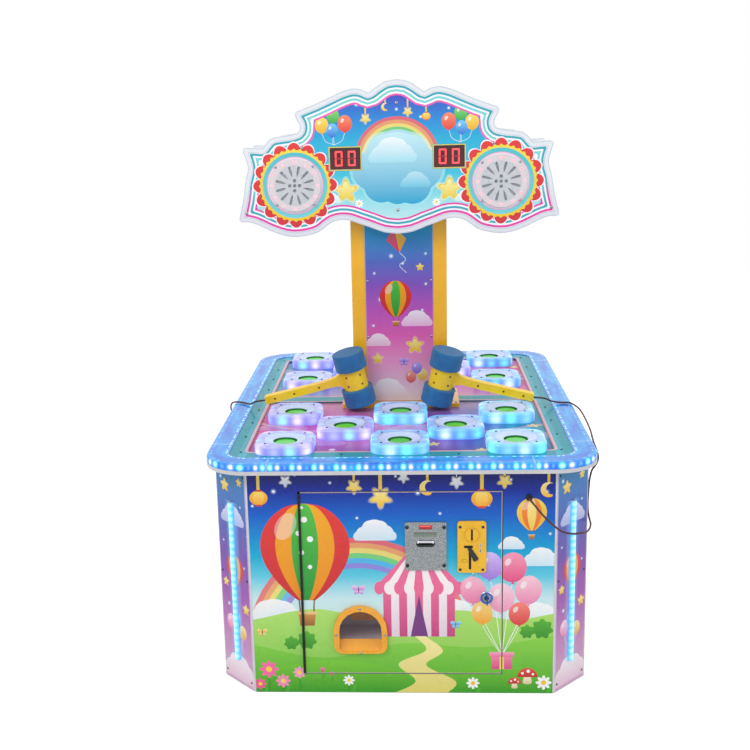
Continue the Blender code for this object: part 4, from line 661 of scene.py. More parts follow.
def rounded_loop(half_x, half_y, corner, steps=5, x=0.0, y=0.0):
    points = []
    for turn, (sx, sy) in enumerate(((1, 1), (-1, 1), (-1, -1), (1, -1))):
        for step in range(steps):
            angle = 0.5 * math.pi * (turn + step / (steps - 1))
            points.append((x + sx * (half_x - corner) + corner * math.cos(angle),
                y + sy * (half_y - corner) + corner * math.sin(angle)))
    return points


def box(left, right_end, low, high):
    return [(left, low), (right_end, low), (right_end, high), (left, high)]


# ------------------------------------------------------------------- lit rim
DECK_X, DECK_Y, DECK_CORNER = 0.452, 0.595, 0.105
RIM_X, RIM_Y, RIM_CORNER = 0.399, 0.539, 0.0475
TRIM_TOP, RIM_TOP, RIM_WIDE, RIM_ROUND = 0.5645, 0.58, 0.053, 0.0045
JOINT_X, JOINT_Y = 0.3, 0.43
LED_PITCH = 1.0 / 60.0
PALE_END = 0.0016


def led_colour(tree, count_along, codes, gains):
    # Colour and gain of the lamp that a place along the strip belongs to.
    cell = calc(tree, "FLOOR", count_along)
    turn = calc(tree, "MODULO", plus(tree, cell, 300.0), float(len(codes)))
    share = calc(tree, "DIVIDE", plus(tree, turn, 0.5), float(len(codes)))
    ramps = []
    for values in ([(*rgb(c), 1.0) for c in codes], [(g, g, g, 1.0) for g in gains]):
        ramp = socketed(tree, "ShaderNodeValToRGB", {0: share})
        ramp.color_ramp.interpolation = "CONSTANT"
        while len(ramp.color_ramp.elements) < len(values):
            ramp.color_ramp.elements.new(0.5)
        for i, value in enumerate(values):
            ramp.color_ramp.elements[i].position = i / len(values)
            ramp.color_ramp.elements[i].color = value
        ramps.append(ramp.outputs["Color"])
    return ramps


def spot(tree, du, v, height, size_u, size_v):
    # A soft round spot at a height, 1 in its middle.
    a, b = [calc(tree, "POWER", calc(tree, "ABSOLUTE", calc(tree, "DIVIDE", off, size)), 2.0)
        for off, size in ((du, size_u), (less(tree, v, height), size_v))]
    return calc(tree, "EXPONENT", times(tree, plus(tree, a, b), -1.0))


def lamp_light(tree, colour, strength):
    grey = socketed(tree, "ShaderNodeCombineColor", {i: strength for i in range(3)}).outputs[0]
    return blend_colour(tree, 1.0, colour, grey, "MULTIPLY")


def from_lamp(tree, u):
    # How far a place is from its lamp of a strip, along the strip.
    along = calc(tree, "DIVIDE", u, LED_PITCH)
    return along, times(tree, less(tree, calc(tree, "FRACT", along), 0.5), LED_PITCH)


# The clear rim: streaky blue plastic, large lamps behind its outer face and
# small ones along its inner edge. U runs along it, V from its foot over it.
rim_look, tree, shader = new_material("lit_rim")
u, v = parts_of(tree, "UV")[:2]
along, du = from_lamp(tree, u)
colour, gain = led_colour(tree, along, ("8affe0", "c8c4ff", "6f8dff"), (1.0, 0.85, 0.3))
wash = spot(tree, 0.0, v, 0.0085, 1.0, 0.008)
edge = spot(tree, 0.0, v, 0.066, 1.0, 0.0022)
streak = noise(tree, 1.0, 4.0, (9.0, 40.0, 1.0), "UV", 0.6)
base = blend_colour(tree, spread(tree, streak, low_in=0.35, high_in=0.65), rgb("1064c8"),
    rgb("1e9ce0"))
# A lilac band along the inner top edge: a painted highlight.
base = blend_colour(tree, times(tree, edge, 0.65), base, rgb("9f9be8"))
# Each spot of light: its height, its sizes and how bright it is. The dim row at 0.0235, on the
# rim's top, is a painted reflection of the lamps.
spots = ((0.0085, (0.0052, 0.006), 1.3), (0.0085, (0.003, 0.0036), 2.4),
    (0.0605, (0.0042, 0.0017), 1.9), (0.0235, (0.004, 0.0024), 0.5))
strength = plus(tree, *[times(tree, spot(tree, du, v, height, *sizes), share)
    for height, sizes, share in spots])
total = lamp_light(tree, colour, times(tree, strength, gain))
for share, colour in ((times(tree, wash, 0.3), rgb("2f6ff0")), (0.2, base)):
    total = blend_colour(tree, 1.0, total, blend_colour(tree, share, (0.0, 0.0, 0.0), colour),
        "ADD")
feed(shader, {"Base Color": base, "Emission Color": total, "Emission Strength": 1.0,
    "Roughness": spread(tree, streak, 0.12, 0.22), "Coat Weight": 0.2,
    "Coat Roughness": 0.08, "Specular IOR Level": 0.3,
    "Normal": bumped(tree, streak, 0.08, 0.002)})
# The pale look of the rim pieces' ends: a painted highlight.
end_highlight_look = plain("rim_end_highlight", "9fc8f2", 0.2, coat=0.4, vary=0.05)


def rim_pair(side_x, side_y, kind):
    # Matching points on the outer and the inner edge of a rim piece.
    pair = []
    for wide, deep, r in ((DECK_X, DECK_Y, DECK_CORNER), (RIM_X, RIM_Y, RIM_CORNER)):
        if kind == "corner":
            bend = [(side_x * (wide - r + r * math.sin(a)), side_y * (deep - r + r * math.cos(a)))
                for a in [0.5 * math.pi * i / 14 for i in range(15)]]
            pair.append([(side_x * (JOINT_X + GAP), side_y * deep)] + bend
                + [(side_x * wide, side_y * (JOINT_Y + GAP))])
        elif kind == "front":
            pair.append([(x, side_y * deep) for x in (-JOINT_X + GAP, JOINT_X - GAP)])
        else:
            pair.append([(side_x * wide, y) for y in (-JOINT_Y + GAP, JOINT_Y - GAP)])
    return pair


def rim_piece(name, outer, inner):
    # Each end has a short pale stretch, a painted highlight where the clear edge catches the
    # light.
    def near_end(line):
        a, b = Vector(line[0]), Vector(line[1])
        return tuple(a + (b - a) * min(0.5, PALE_END / (b - a).length))

    outer, inner = [[line[0], near_end(line), *line[1:-1], near_end(line[::-1]), line[-1]]
        for line in (outer, inner)]
    # The section's points: how far in, how high, and V there.
    profile = [(0.0, TRIM_TOP, 0.0), (0.0, RIM_TOP - RIM_ROUND, 0.011)]
    for i in range(1, 5):
        a = 0.5 * math.pi * i / 4
        profile.append((RIM_ROUND * (1 - math.cos(a)), RIM_TOP - RIM_ROUND * (1 - math.sin(a)),
            0.011 + RIM_ROUND * a / 1.2))
    for share in (0.3, 0.55, 0.78, 0.86, 0.94):
        profile.append((share * RIM_WIDE, RIM_TOP, 0.0175 + share * RIM_WIDE - RIM_ROUND))
    profile += [(RIM_WIDE - 0.0008, RIM_TOP, 0.0655), (RIM_WIDE, RIM_TOP - 0.0008, 0.067),
        (RIM_WIDE, TRIM_TOP, 0.082)]
    verts, uvs, run = [], [], 0.0
    for i, (o, n) in enumerate(zip(outer, inner)):
        o, n = Vector(o), Vector(n)
        if i:
            run += ((o - Vector(outer[i - 1])).length + (n - Vector(inner[i - 1])).length) * 0.5
        for inset, z, v in profile:
            p = o + (n - o) * (inset / RIM_WIDE)
            verts.append((p.x, p.y, z))
            uvs.append((run, v))
    rows, columns = len(outer), len(profile)
    faces = quads(rows, columns) + [tuple(range(first, first + columns))
        for first in (0, (rows - 1) * columns)]
    slots = [int(i in (0, rows - 2)) for i in range(rows - 1) for _ in profile] + [1, 1]
    made = mesh_piece(name + "_body", verts, faces, [rim_look, end_highlight_look], "machine", uvs, 50.0,
        slots, turn_out=True)
    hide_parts(name)


rim_piece("rim_front", *rim_pair(0, -1, "front"))
rim_piece("rim_rear", *rim_pair(0, 1, "front"))
rim_piece("rim_left", *rim_pair(-1, 0, "side"))
rim_piece("rim_right", *rim_pair(1, 0, "side"))
for fore, sy in (("front", -1), ("rear", 1)):
    for side, sx in (("left", -1), ("right", 1)):
        rim_piece("rim_corner_%s_%s" % (fore, side), *rim_pair(sx, sy, "corner"))

# ------------------------------------------------------- playfield and border
COLUMN_STEP, ROWS, PAD_HOLE = 0.2708, (0.4496, 0.3183, 0.183), 0.029
THREE, TWO = (-COLUMN_STEP, 0.0, COLUMN_STEP), (-COLUMN_STEP / 2, COLUMN_STEP / 2)
PADS = [(x, sy * row) for sy in (-1, 1) for row, xs in zip(ROWS, (THREE, TWO, THREE))
    for x in xs]


def field_sheet():
    # The front half; the rear half is the same sheet turned round.
    sheet = []
    stops = [(-0.399, "d23a86"), (-0.3, "e0509c"), (-0.17, "cf5cb4"), (-0.04, "e488c6"),
        (0.06, "a85fb8"), (0.17, "6a5fc0"), (0.27, "2f8fc0"), (0.399, "1797a8")]
    for (a, first), (b, second) in zip(stops, stops[1:]):
        ink(sheet, [(a, -0.539), (b, -0.539), (b, 0.0), (a, 0.0)], first, second,
            ends=((a, 0), (b, 0)))
    ink(sheet, box(-0.399, 0.399, -0.539, -0.36), "2a2a86", ends=((0, -0.539), (0, -0.36)),
        strength=0.8, fade=0.0)
    ink(sheet, box(-0.399, 0.399, -0.16, 0.0), "efc3d8", ends=((0, 0.0), (0, -0.16)),
        strength=0.55, fade=0.0)
    for x, y, w in ((-0.22, -0.4, 0.16), (0.2, -0.22, 0.15), (0.02, -0.3, 0.12),
            (-0.3, -0.27, 0.12), (0.31, -0.36, 0.13)):
        cloud(sheet, x, y, w, "f6d8f0", "b9a5e6", 0.45)
    for x, y, r in ((-0.19, -0.23, 0.02), (0.08, -0.42, 0.016), (0.33, -0.27, 0.017),
            (-0.07, -0.37, 0.013), (-0.34, -0.38, 0.015), (0.19, -0.47, 0.014),
            (-0.2, -0.5, 0.012), (0.02, -0.25, 0.012)):
        star(sheet, x, y, r, halo=False)
    for x, y, r in ((-0.16, -0.46, 0.008), (0.13, -0.24, 0.007), (0.29, -0.31, 0.006),
            (-0.28, -0.33, 0.006), (0.24, -0.39, 0.007), (-0.05, -0.5, 0.006)):
        ink(sheet, oval(x, y, r, count=14), "ffffff", strength=0.6)
    for k, code in ((0, "ff9fd0"), (1, "ffd36a"), (2, "8fe6f0")):
        wave = ((-0.39, -0.2), (-0.2, -0.3), (0.0, -0.235), (0.2, -0.31), (0.39, -0.24))
        line = curve2([(x, y - k * 0.006) for x, y in wave])
        ink(sheet, ribbon(line, 0.005), code, strength=0.5)
    return sheet


for side, name in ((-1, "front"), (1, "rear")):
    holes = [oval(x, -abs(y), PAD_HOLE) for x, y in PADS if y * side > 0]
    half = [(x, min(y, -0.0003)) for x, y in rounded_loop(0.3987, 0.5387, 0.047, 6)]
    sheet = printed("playfield_sheet_" + name, [half], holes, field_sheet(), (0, 0, 0.573),
        (-side, 0, 0), (0, -side, 0), wet_print, "machine", thickness=0.003)
    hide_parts("playfield_" + name)

border = []
ink(border, box(-0.4, 0.4, -0.54, 0.54), "0a94a4")
for sx in (-1, 1):
    ink(border, box(min(sx * 0.376, sx * 0.356), max(sx * 0.376, sx * 0.356), -0.54, 0.54),
        "45bdcf", "45bdcf", ends=((sx * 0.364, 0), (sx * 0.384, 0)), strength=0.55, fade=0.0)
# Around each window the pale pink band is a painted highlight on the plate's bevelled edge, and
# the red line inside it a painted shadow.
for wide, code in ((0.0105, "1b6f86"), (0.009, "c7b3c4"), (0.0022, "cf4a4e"), (0.0007, "e8842c")):
    for sy in (-1, 1):
        mid, half = sy * 0.2575, 0.2275
        ink(border, rounded_loop(0.356 + wide, half + wide, 0.01 + wide, 5, 0.0, mid), code)
flange = box(-0.1566, 0.1566, -0.0856, 0.0856)
windows = [rounded_loop(0.356, 0.2275, 0.01, 5, 0.0, sy * 0.2575) for sy in (-1, 1)]
notches = [rounded_loop(0.0694, 0.0694, 0.0356, 6, x, y) for x, y in PADS if abs(y) > 0.4]
border_print = printed("border_film", [rounded_loop(0.3985, 0.5385, 0.047, 6)], windows + notches
    + [flange], border, (0, 0, 0.57715), (1, 0, 0), (0, 1, 0), border_film, "machine")

# ------------------------------------------------------------------- lit pads
PAD_HALF, PAD_CORNER, DISH = 0.0688, 0.035, 0.0484
PAD_STEPS, PAD_LAMPS = 72, 12


def squarish(angle, half, corner):
    # Distance from the middle to a rounded square's edge.
    c, s = abs(math.cos(angle)), abs(math.sin(angle))
    straight = half / max(c, s)
    x, y = straight * c, straight * s
    core = half - corner
    if x > core and y > core:
        along = core * (c + s)
        return along + math.sqrt(max(0.0, corner * corner - 2 * core * core + along * along))
    return straight


def pad_look(name, codes, gains, wall, top):
    made, tree, shader = new_material(name)
    u, v = parts_of(tree, "UV")[:2]
    along = times(tree, u, float(PAD_LAMPS))
    du = less(tree, calc(tree, "FRACT", along), 0.5)
    colour, gain = led_colour(tree, along, codes, gains)
    strength = plus(tree, times(tree, spot(tree, du, v, 0.45, 0.3, 0.42), 1.15),
        times(tree, spot(tree, du, v, 1.05, 0.42, 0.55), 0.35))
    near_edge = spread(tree, v, 1.0, 0.0, 1.0, 1.75)
    cloudy = noise(tree, 34.0)
    face = blend_colour(tree, spread(tree, cloudy), rgb(top[0]), rgb(top[1]))
    inner = blend_colour(tree, times(tree, near_edge, 0.34), (0.02, 0.02, 0.03), rgb(wall))
    glow = lamp_light(tree, colour, times(tree, strength, gain))
    feed(shader, {"Base Color": blend_colour(tree, near_edge, face, rgb(wall)),
        "Emission Color": blend_colour(tree, 1.0, glow, inner, "ADD"), "Emission Strength": 1.0,
        "Roughness": spread(tree, cloudy, 0.22, 0.34), "Coat Weight": 0.35, "Coat Roughness": 0.12,
        "Normal": bumped(tree, noise(tree, 700.0, 2.0), 0.12, 0.0004)})
    return made


pad_looks = [
    pad_look("pad_lilac", ("d6c8ff", "9fb2ff", "6ff0e6"), (1.0, 0.55, 0.8), "8f8df0",
        ("8f9ae6", "a6b6ee")),
    pad_look("pad_teal", ("c4d2ff", "5fe6dc", "7fb0ff"), (0.95, 0.85, 0.6), "66b4ea",
        ("86aeea", "9ecaf0")),
    pad_look("pad_blue", ("d0dcff", "6fc8ff", "6ae0d0"), (1.0, 0.7, 0.7), "5f9cf0",
        ("84a4ec", "9abff2"))]
dish_look = plain("pad_dish", "bccdec", 0.34, coat=0.15, vary=0.08, grain=26.0,
    glow=("9fb4f0", 0.18))
sleeve_look = plain("pad_sleeve", "2c6a34", 0.4, vary=0.1)


def pad_piece(number, x, y):
    # Rings: the share of the square shape, inset or radius, height, and V there.
    rings = [(1.0, 0.0, 0.5732, 0.0), (1.0, 0.0, 0.583, 0.45), (1.0, 0.0, 0.593, 0.85)]
    for i in range(1, 5):
        a = 0.5 * math.pi * i / 4
        rings.append((1.0, 0.006 * (1 - math.cos(a)), 0.593 + 0.006 * math.sin(a),
            0.85 + 0.05 * i))
    rings += [(0.55, 0.006, 0.59895, 1.35), (0.12, 0.006, 0.5989, 1.85), (0.0, DISH, 0.5989, 2.0),
        (0.0, 0.0474, 0.5984, 2.05), (0.0, 0.0305, 0.5942, 3.0), (0.0, 0.0288, 0.5938, 3.2),
        (0.0, 0.0286, 0.593, 3.3), (0.0, 0.0286, 0.5745, 4.0)]
    verts, uvs, slots = [], [], []
    for square, inset, z, v in rings:
        for i in range(PAD_STEPS + 1):
            a = 2 * math.pi * i / PAD_STEPS
            r = inset
            if square:
                edge = squarish(a, PAD_HALF - inset, PAD_CORNER - inset)
                r = edge * square + DISH * (1 - square)
            verts.append((*on_circle(r, a, x, y), z))
            uvs.append((i / PAD_STEPS + number * 0.17, v))
    for _, _, _, v in rings[1:]:
        slots += [2 if v > 3.3 else 1 if v > 2.0 else 0] * PAD_STEPS
    look = pad_looks[0 if x < -0.02 else 1 if x < 0.1 else 2]
    if number % 5 == 3:
        look = pad_looks[(number // 2) % 3]
    made = mesh_piece("pad_%02d" % number, verts, quads(len(rings), PAD_STEPS + 1, closed=False),
        [look, dish_look, sleeve_look], "machine", uvs, 40.0, slots)


for number, (x, y) in enumerate(PADS, 1):
    pad_piece(number, x, y)
# The moles' green glows a little: painted light, as they hold no lamp.
paint(plain("mole_green", "2bb41d", 0.32, coat=0.4, vary=0.16, grain=50.0, bump=0.06,
    glow=("22a81a", 0.35)), *["mole_%02d" % number for number in range(1, 17)])
paint(plain("border_plastic", "1a8296", 0.2, coat=0.7, vary=0.06), "border_frame")
paint(plain("trim_plastic", "c9c8cc", 0.3, coat=0.2, vary=0.04, grain=14.0), "deck_trim")
paint(plain("deck_wood", "a98a5c", 0.55, vary=0.2, grain=20.0, stretch=(1, 6, 1)), "deck_board")

# ----------------------------------------------------------------- front print
SKY = [(0.556, "0a0f62"), (0.505, "0a2a9e"), (0.445, "0662cc"), (0.39, "0090d6"),
    (0.345, "04b0dc"), (0.295, "62cfe8"), (0.24, "cdeef4"), (0.0, "e4f5dc")]
BRIGHT = (("ea3f3a", "cf2f38"), ("f9b02c", "f0901e"), ("55c44a", "2c9a3c"))
PALE_DOTS = [(-0.34, 0.47, 2), (-0.29, 0.505, 3), (-0.16, 0.525, 2), (-0.05, 0.48, 2),
    (0.04, 0.5, 3), (0.12, 0.53, 2), (0.2, 0.47, 2), (0.33, 0.5, 3), (-0.1, 0.44, 2),
    (0.09, 0.45, 2), (0.25, 0.53, 2), (-0.24, 0.545, 2), (0.34, 0.4, 2), (-0.01, 0.54, 2)]


def meadow(sheet, half):
    for heights, light, deep in (
            (((-1, 0.185), (-0.55, 0.215), (-0.1, 0.18), (0.35, 0.212), (0.7, 0.188), (1, 0.205)),
                "b5e574", "6cc63e"),
            (((-1, 0.125), (-0.5, 0.09), (0, 0.128), (0.5, 0.118), (1, 0.15)),
                "8fd84c", "3fae2e"),
            (((-1, 0.055), (-0.4, 0.085), (0.15, 0.05), (0.6, 0.072), (1, 0.05)),
                "7fd03c", "2c9c28")):
        hill(sheet, [(half * x, z) for x, z in heights], light, deep)


def front_art():
    sheet = []
    ink_ramp(sheet, -0.36, 0.36, SKY)
    for x, z, size in PALE_DOTS:
        sparkle(sheet, x, z, 0.0011 * size)
    rainbow(sheet, -0.1, 0.13, 0.262, 0.0125, -0.25, math.pi + 0.5)
    for x, z, w in ((-0.3, 0.18, 0.15), (0.115, 0.185, 0.14), (0.31, 0.18, 0.13),
            (-0.06, 0.4, 0.09), (0.252, 0.372, 0.055), (0.32, 0.335, 0.08)):
        cloud(sheet, x, z, w, strength=0.94)
    meadow(sheet, 0.36)
    tent(sheet, 0.04, 0.145, 0.185, 0.235, deep="f2709f")
    path = curve2([(0.03, 0.146), (0.055, 0.11), (-0.01, 0.075), (0.03, 0.03), (-0.03, -0.005)], 6)
    wide = curve2([(0.055, 0.146), (0.095, 0.108), (0.055, 0.072), (0.125, 0.03), (0.1, -0.005)],
        6)
    ink(sheet, path + wide[::-1], "fbf0a8", "e6d878")
    for x, z, r in ((-0.225, 0.135, 0.024), (-0.262, 0.128, 0.018), (0.325, 0.165, 0.026),
            (0.29, 0.158, 0.018)):
        ink(sheet, lobed(x, z, r, 7, 0.22), "5cb83a", "3c962c")
    air_balloon(sheet, -0.222, 0.372, 0.104, BRIGHT,
        [(0.0, 0.62, 0.07), (-0.14, 0.3, 0.06), (0.12, 0.16, 0.07), (-0.08, -0.16, 0.06),
        (0.1, -0.5, 0.05), (-0.05, 0.9, 0.04)])
    foot = (0.232, 0.098)
    for x, z, r, light, deep, lean in ((0.165, 0.262, 0.034, "ffc2d8", "f07fae", 0.2),
            (0.292, 0.262, 0.036, "ffd0e0", "f08db8", -0.2),
            (0.256, 0.318, 0.037, "ff9fbf", "e84f86", -0.1),
            (0.203, 0.322, 0.034, "d9c2ff", "a37ae0", 0.1),
            (0.186, 0.205, 0.028, "ffe08a", "f7a62c", 0.2),
            (0.272, 0.203, 0.029, "ff8a80", "dd3f44", -0.1),
            (0.23, 0.243, 0.036, "ffd9e8", "f79ac0", 0.0)):
        party_balloon(sheet, x, z, r, light, deep, foot, lean)
    ink(sheet, box(0.208, 0.256, 0.062, 0.1), "ff8fb4", "e0508a")
    ink(sheet, box(0.227, 0.237, 0.062, 0.1), "ffe36a")
    ink(sheet, box(0.203, 0.261, 0.094, 0.106), "ffb0cb", "f0709f")
    air_balloon(sheet, 0.298, 0.452, 0.034, (("fbe05a", "f5b52a"), ("ff9a4a", "ee6f2c"),
        ("fff0a0", "f8cf4a")))
    for x, z, r, petal, heart in ((-0.318, 0.06, 0.023, "ff6fae", "ffd84a"),
            (-0.285, 0.03, 0.018, "ff93c4", "ffe06a"), (-0.34, 0.022, 0.015, "ff5a9c", "ffd84a"),
            (-0.245, 0.052, 0.016, "ffa6cf", "ffd84a"), (0.33, 0.028, 0.019, "ffffff", "ffc83a"),
            (0.165, 0.026, 0.016, "ffffff", "ffc83a"), (-0.128, 0.032, 0.014, "ffffff", "ffd84a")):
        stem(sheet, x, z - 0.05, 0.05)
        daisy(sheet, x, z, r, petal, heart)
    tulip(sheet, -0.19, 0.06, 0.011)
    tulip(sheet, -0.168, 0.05, 0.009)
    mushroom(sheet, 0.292, 0.026, 0.038)
    mushroom(sheet, 0.262, 0.014, 0.026)
    for x, z, s, light, deep in ((-0.1, 0.262, 0.018, "ffd0f0", "c07ae0"),
            (0.125, 0.175, 0.014, "a8e6ff", "4aa0e0"), (-0.33, 0.155, 0.014, "fff09a", "f0a53a")):
        butterfly(sheet, x, z, s, light, deep)
    for x, drop, r, kind in ((-0.325, 0.05, 0.021, "lantern"), (-0.262, 0.016, 0.013, "pale"),
            (-0.105, 0.028, 0.016, "star"), (-0.045, 0.048, 0.024, "star"),
            (0.008, 0.01, 0.012, "pale"), (0.062, 0.03, 0.018, "crescent"),
            (0.128, 0.02, 0.014, "pale"), (0.185, 0.052, 0.024, "lantern"),
            (0.236, 0.018, 0.015, "star"), (0.335, 0.036, 0.018, "crescent")):
        hanging(sheet, x, 0.556, drop, r, kind)
    return sheet


art = front_art()
opening_loop = box(-0.2355, 0.2335, 0.049, 0.5045)
leaf_loop = box(-0.2293, 0.2313, 0.0512, 0.5023)
outlet_loop = arc(OUTLET_X, 0.1617, 0.059, 0.0, math.pi, 16) + [(-0.1567, 0.108), (-0.0387, 0.108)]
gland_hole = oval(GLAND_X, GLAND_Z, 0.007, count=12)
front_print("front_print", [box(-0.3505, 0.3505, 0.0012, 0.5545)], [opening_loop, gland_hole], art,
    -FRONT - LIFT, film, "machine")
seam_ink = (*rgb("c9b8b0"), 0.8)
seam = [(ribbon(line, 0.0016), seam_ink, seam_ink, None)
    for line in (((-0.2293, 0.5015), (0.2313, 0.5015)), ((0.2305, 0.0512), (0.2305, 0.5023)),
    ((-0.2293, 0.052), (0.2313, 0.052)))]
plates = [box(0.1317, 0.1927, 0.3097, 0.4297), box(0.0117, 0.1021, 0.3143, 0.4275)]
front_print("door_print", [leaf_loop], plates + [outlet_loop, oval(0.196, 0.2438, 0.012)],
    art + seam, -FRONT - LIFT, film, "door")

# --------------------------------------------- chamfers, sides, rear, column
CORNER_WIDE = math.hypot(0.082, 0.087)
STRIP = [(0.556, "2b86b4"), (0.5, "3f7fc4"), (0.42, "5566bc"), (0.33, "7a52b0"), (0.23, "a65ab4"),
    (0.12, "c98ac2"), (0.0, "d9b3cf")]


def corner_art():
    sheet = []
    ink_ramp(sheet, -0.01, 0.13, STRIP)
    for x, z, r in ((0.02, 0.36, 2), (0.1, 0.31, 2), (0.03, 0.2, 3), (0.095, 0.46, 2),
            (0.02, 0.52, 3)):
        sparkle(sheet, x, z, 0.001 * r)
    for x, z, r in ((0.036, 0.502, 0.017), (0.094, 0.52, 0.011)):
        star(sheet, x, z, r, halo=False)
    cloud(sheet, 0.06, 0.425, 0.085, "f2f0ff", "c3c9f4", 0.85)
    air_balloon(sheet, 0.062, 0.3, 0.034, (("ea4a44", "cf3440"), ("f9b83c", "f0952a"),
        ("55c45a", "2f9a4c")))
    for x, z, r in ((0.022, 0.255, 0.012), (0.1, 0.205, 0.014)):
        star(sheet, x, z, r, halo=False)
    for x, z, r, light, deep, foot in ((0.036, 0.155, 0.02, "ffd9e8", "f088b8", 0.058),
            (0.082, 0.14, 0.018, "ffe9a0", "f5b53c", 0.06),
            (0.06, 0.172, 0.018, "b8e8ff", "5aaae8", 0.059)):
        party_balloon(sheet, x, z, r, light, deep, (foot, 0.045))
    cloud(sheet, 0.06, 0.03, 0.12, "ffffff", "f0cfe2", 0.9)
    # Painted light: a pale blue glow on the plate either side of the lit tube, fading away from
    # it.
    for way in (-1, 1):
        near, far = CORNER_WIDE / 2 + way * 0.006, CORNER_WIDE / 2 + way * 0.026
        ink(sheet, box(min(near, far), max(near, far), 0.064, 0.466), "9fdcff",
            ends=((near, 0), (far, 0)), strength=0.55, fade=0.0)
    # A pale line along each edge of the plate: a painted highlight.
    for left in (0.0, CORNER_WIDE - 0.004):
        ink(sheet, box(left, left + 0.004, 0.0, 0.556), "e6dfe8", strength=0.55)
    return sheet


strip_art = corner_art()
strip_loop = box(0.0004, CORNER_WIDE - 0.0004, 0.0016, 0.5545)
tube_gap = box(CORNER_WIDE / 2 - 0.007, CORNER_WIDE / 2 + 0.007, 0.0655, 0.4645)
for name, x, y, ax, ay in (("front_right", 0.355, -0.56, 0.082, 0.087),
        ("front_left", -0.437, -0.473, 0.082, -0.087), ("rear_right", 0.437, 0.473, -0.082, 0.087),
        ("rear_left", -0.355, 0.56, -0.082, -0.087)):
    across = Vector((ax, ay, 0.0)).normalized()
    away = Vector((across.y, -across.x, 0.0))
    origin = Vector((x, y, 0.0)) + away * LIFT
    printed("corner_print_" + name, [strip_loop], [tube_gap], strip_art, origin, across,
        (0, 0, 1), film, "machine")


def wall_art(half, seed):
    sheet = []
    ink_ramp(sheet, -half, half, SKY)
    for i in range(22):
        x = half * math.sin(1.9 * i + seed)
        sparkle(sheet, x, 0.36 + 0.18 * ((i * 0.618 + seed) % 1.0), 0.002 + 0.001 * (i % 2))
    rainbow(sheet, half * 0.2, 0.1, 0.3, 0.014, -0.25, math.pi + 0.5)
    for x, z, w in ((-0.75, 0.185, 0.18), (-0.2, 0.33, 0.13), (0.6, 0.18, 0.19),
            (0.85, 0.4, 0.12)):
        cloud(sheet, x * half, z, w, strength=0.92)
    meadow(sheet, half)
    air_balloon(sheet, -half * 0.55, 0.37, 0.085, (("f9b83c", "f0952a"), ("ea4a44", "cf3440"),
        ("fff0a0", "f8cf4a")))
    air_balloon(sheet, half * 0.68, 0.42, 0.05, (("5ab8ee", "2c86cc"), ("ffffff", "dfe9f6"),
        ("5ab8ee", "2c86cc")))
    tent(sheet, half * 0.12, 0.12, 0.22, 0.22)
    for i in range(7):
        x = half * (-0.9 + 0.3 * i)
        stem(sheet, x, 0.0, 0.05)
        daisy(sheet, x, 0.05 + 0.01 * (i % 3), 0.017, ("ff6fae", "ffffff", "ffd0e0")[i % 3],
            "f8c22c")
    for i in range(6):
        hanging(sheet, half * (-0.85 + 0.34 * i), 0.556, 0.02 + 0.02 * (i % 2), 0.017,
            ("star", "lantern", "pale")[i % 3])
    return sheet


for name, half, origin, across, seed in (("right", 0.4728, (0.437 + LIFT, 0, 0), (0, 1, 0), 0.3),
        ("left", 0.4728, (-0.437 - LIFT, 0, 0), (0, -1, 0), 0.9),
        ("rear", 0.3505, (0, FRONT + LIFT, 0), (-1, 0, 0), 1.7)):
    holes = [gland_hole] if name == "rear" else []
    printed("wall_print_" + name, [box(-half, half, 0.0012, 0.5545)], holes, wall_art(half, seed),
        origin, across, (0, 0, 1), film, "machine")


def column_art():
    sheet = []
    ink_ramp(sheet, -0.09, 0.09, [(1.1, "25b4c6"), (1.03, "3a9cd4"), (0.96, "5f74cc"),
        (0.9, "8a5cc4"), (0.83, "c45cc0"), (0.76, "e868b8"), (0.69, "f59fce"), (0.62, "fbd2e6"),
        (0.58, "fdeaf0")])
    for x, z, r in ((-0.07, 1.07, 2), (0.05, 1.06, 3), (0.07, 0.98, 2), (-0.02, 0.975, 3),
            (-0.065, 0.93, 2), (0.01, 0.955, 2), (0.07, 0.9, 2), (-0.05, 0.86, 3), (0.06, 0.83, 2),
            (-0.07, 0.79, 2)):
        sparkle(sheet, x, z, 0.0012 * r)
    ink(sheet, [(-0.012, 1.052), (0.02, 1.02), (0.002, 0.984), (-0.032, 1.016)], "ffe06a",
        "f59a2c")
    ink(sheet, [(-0.012, 1.052), (0.002, 0.984), (-0.032, 1.016)], "ff7f8f", "e0406a")
    ink(sheet, ribbon(curve2([(0.002, 0.984), (0.018, 0.965), (0.002, 0.95), (0.02, 0.93)]),
        0.0016), "ffffff", strength=0.8)
    star(sheet, 0.05, 1.074, 0.016, "d9f08a", "9ed04a", halo=False)
    star(sheet, 0.055, 0.945, 0.011, halo=False)
    air_balloon(sheet, -0.01, 0.868, 0.042, BRIGHT)
    cloud(sheet, 0.045, 0.8, 0.075, "ffffff", "f6c6e6", 0.85)
    cloud(sheet, -0.058, 0.745, 0.06, "ffffff", "f9cfe4", 0.8)
    star(sheet, 0.04, 0.735, 0.021)
    star(sheet, -0.06, 0.7, 0.014)
    butterfly(sheet, 0.01, 0.69, 0.016, "d9c2ff", "9a6ae0")
    for x, z, r, light, deep in ((0.028, 0.65, 0.017, "ffb0a0", "e85a5a"),
            (0.058, 0.655, 0.016, "fff0a0", "f5bb3a"), (0.044, 0.674, 0.016, "c8b2ff", "8f6ae0")):
        party_balloon(sheet, x, z, r, light, deep, (0.044, 0.6))
    cloud(sheet, -0.035, 0.606, 0.1, "ffffff", "f6dce6", 0.9)
    for left in (-0.0896, 0.088):
        ink(sheet, box(left, left + 0.0016, 0.58, 1.1), "e8e4f0", strength=0.6)
    return sheet


post_art = column_art()
for name, y, across in (("front", -1, (1, 0, 0)), ("rear", 1, (-1, 0, 0))):
    printed("column_print_" + name, [box(-0.0893, 0.0893, 0.5837, 1.0953)], [], post_art,
        (0, y * (0.0498 + LIFT), 0), across, (0, 0, 1), wet_print, "machine")

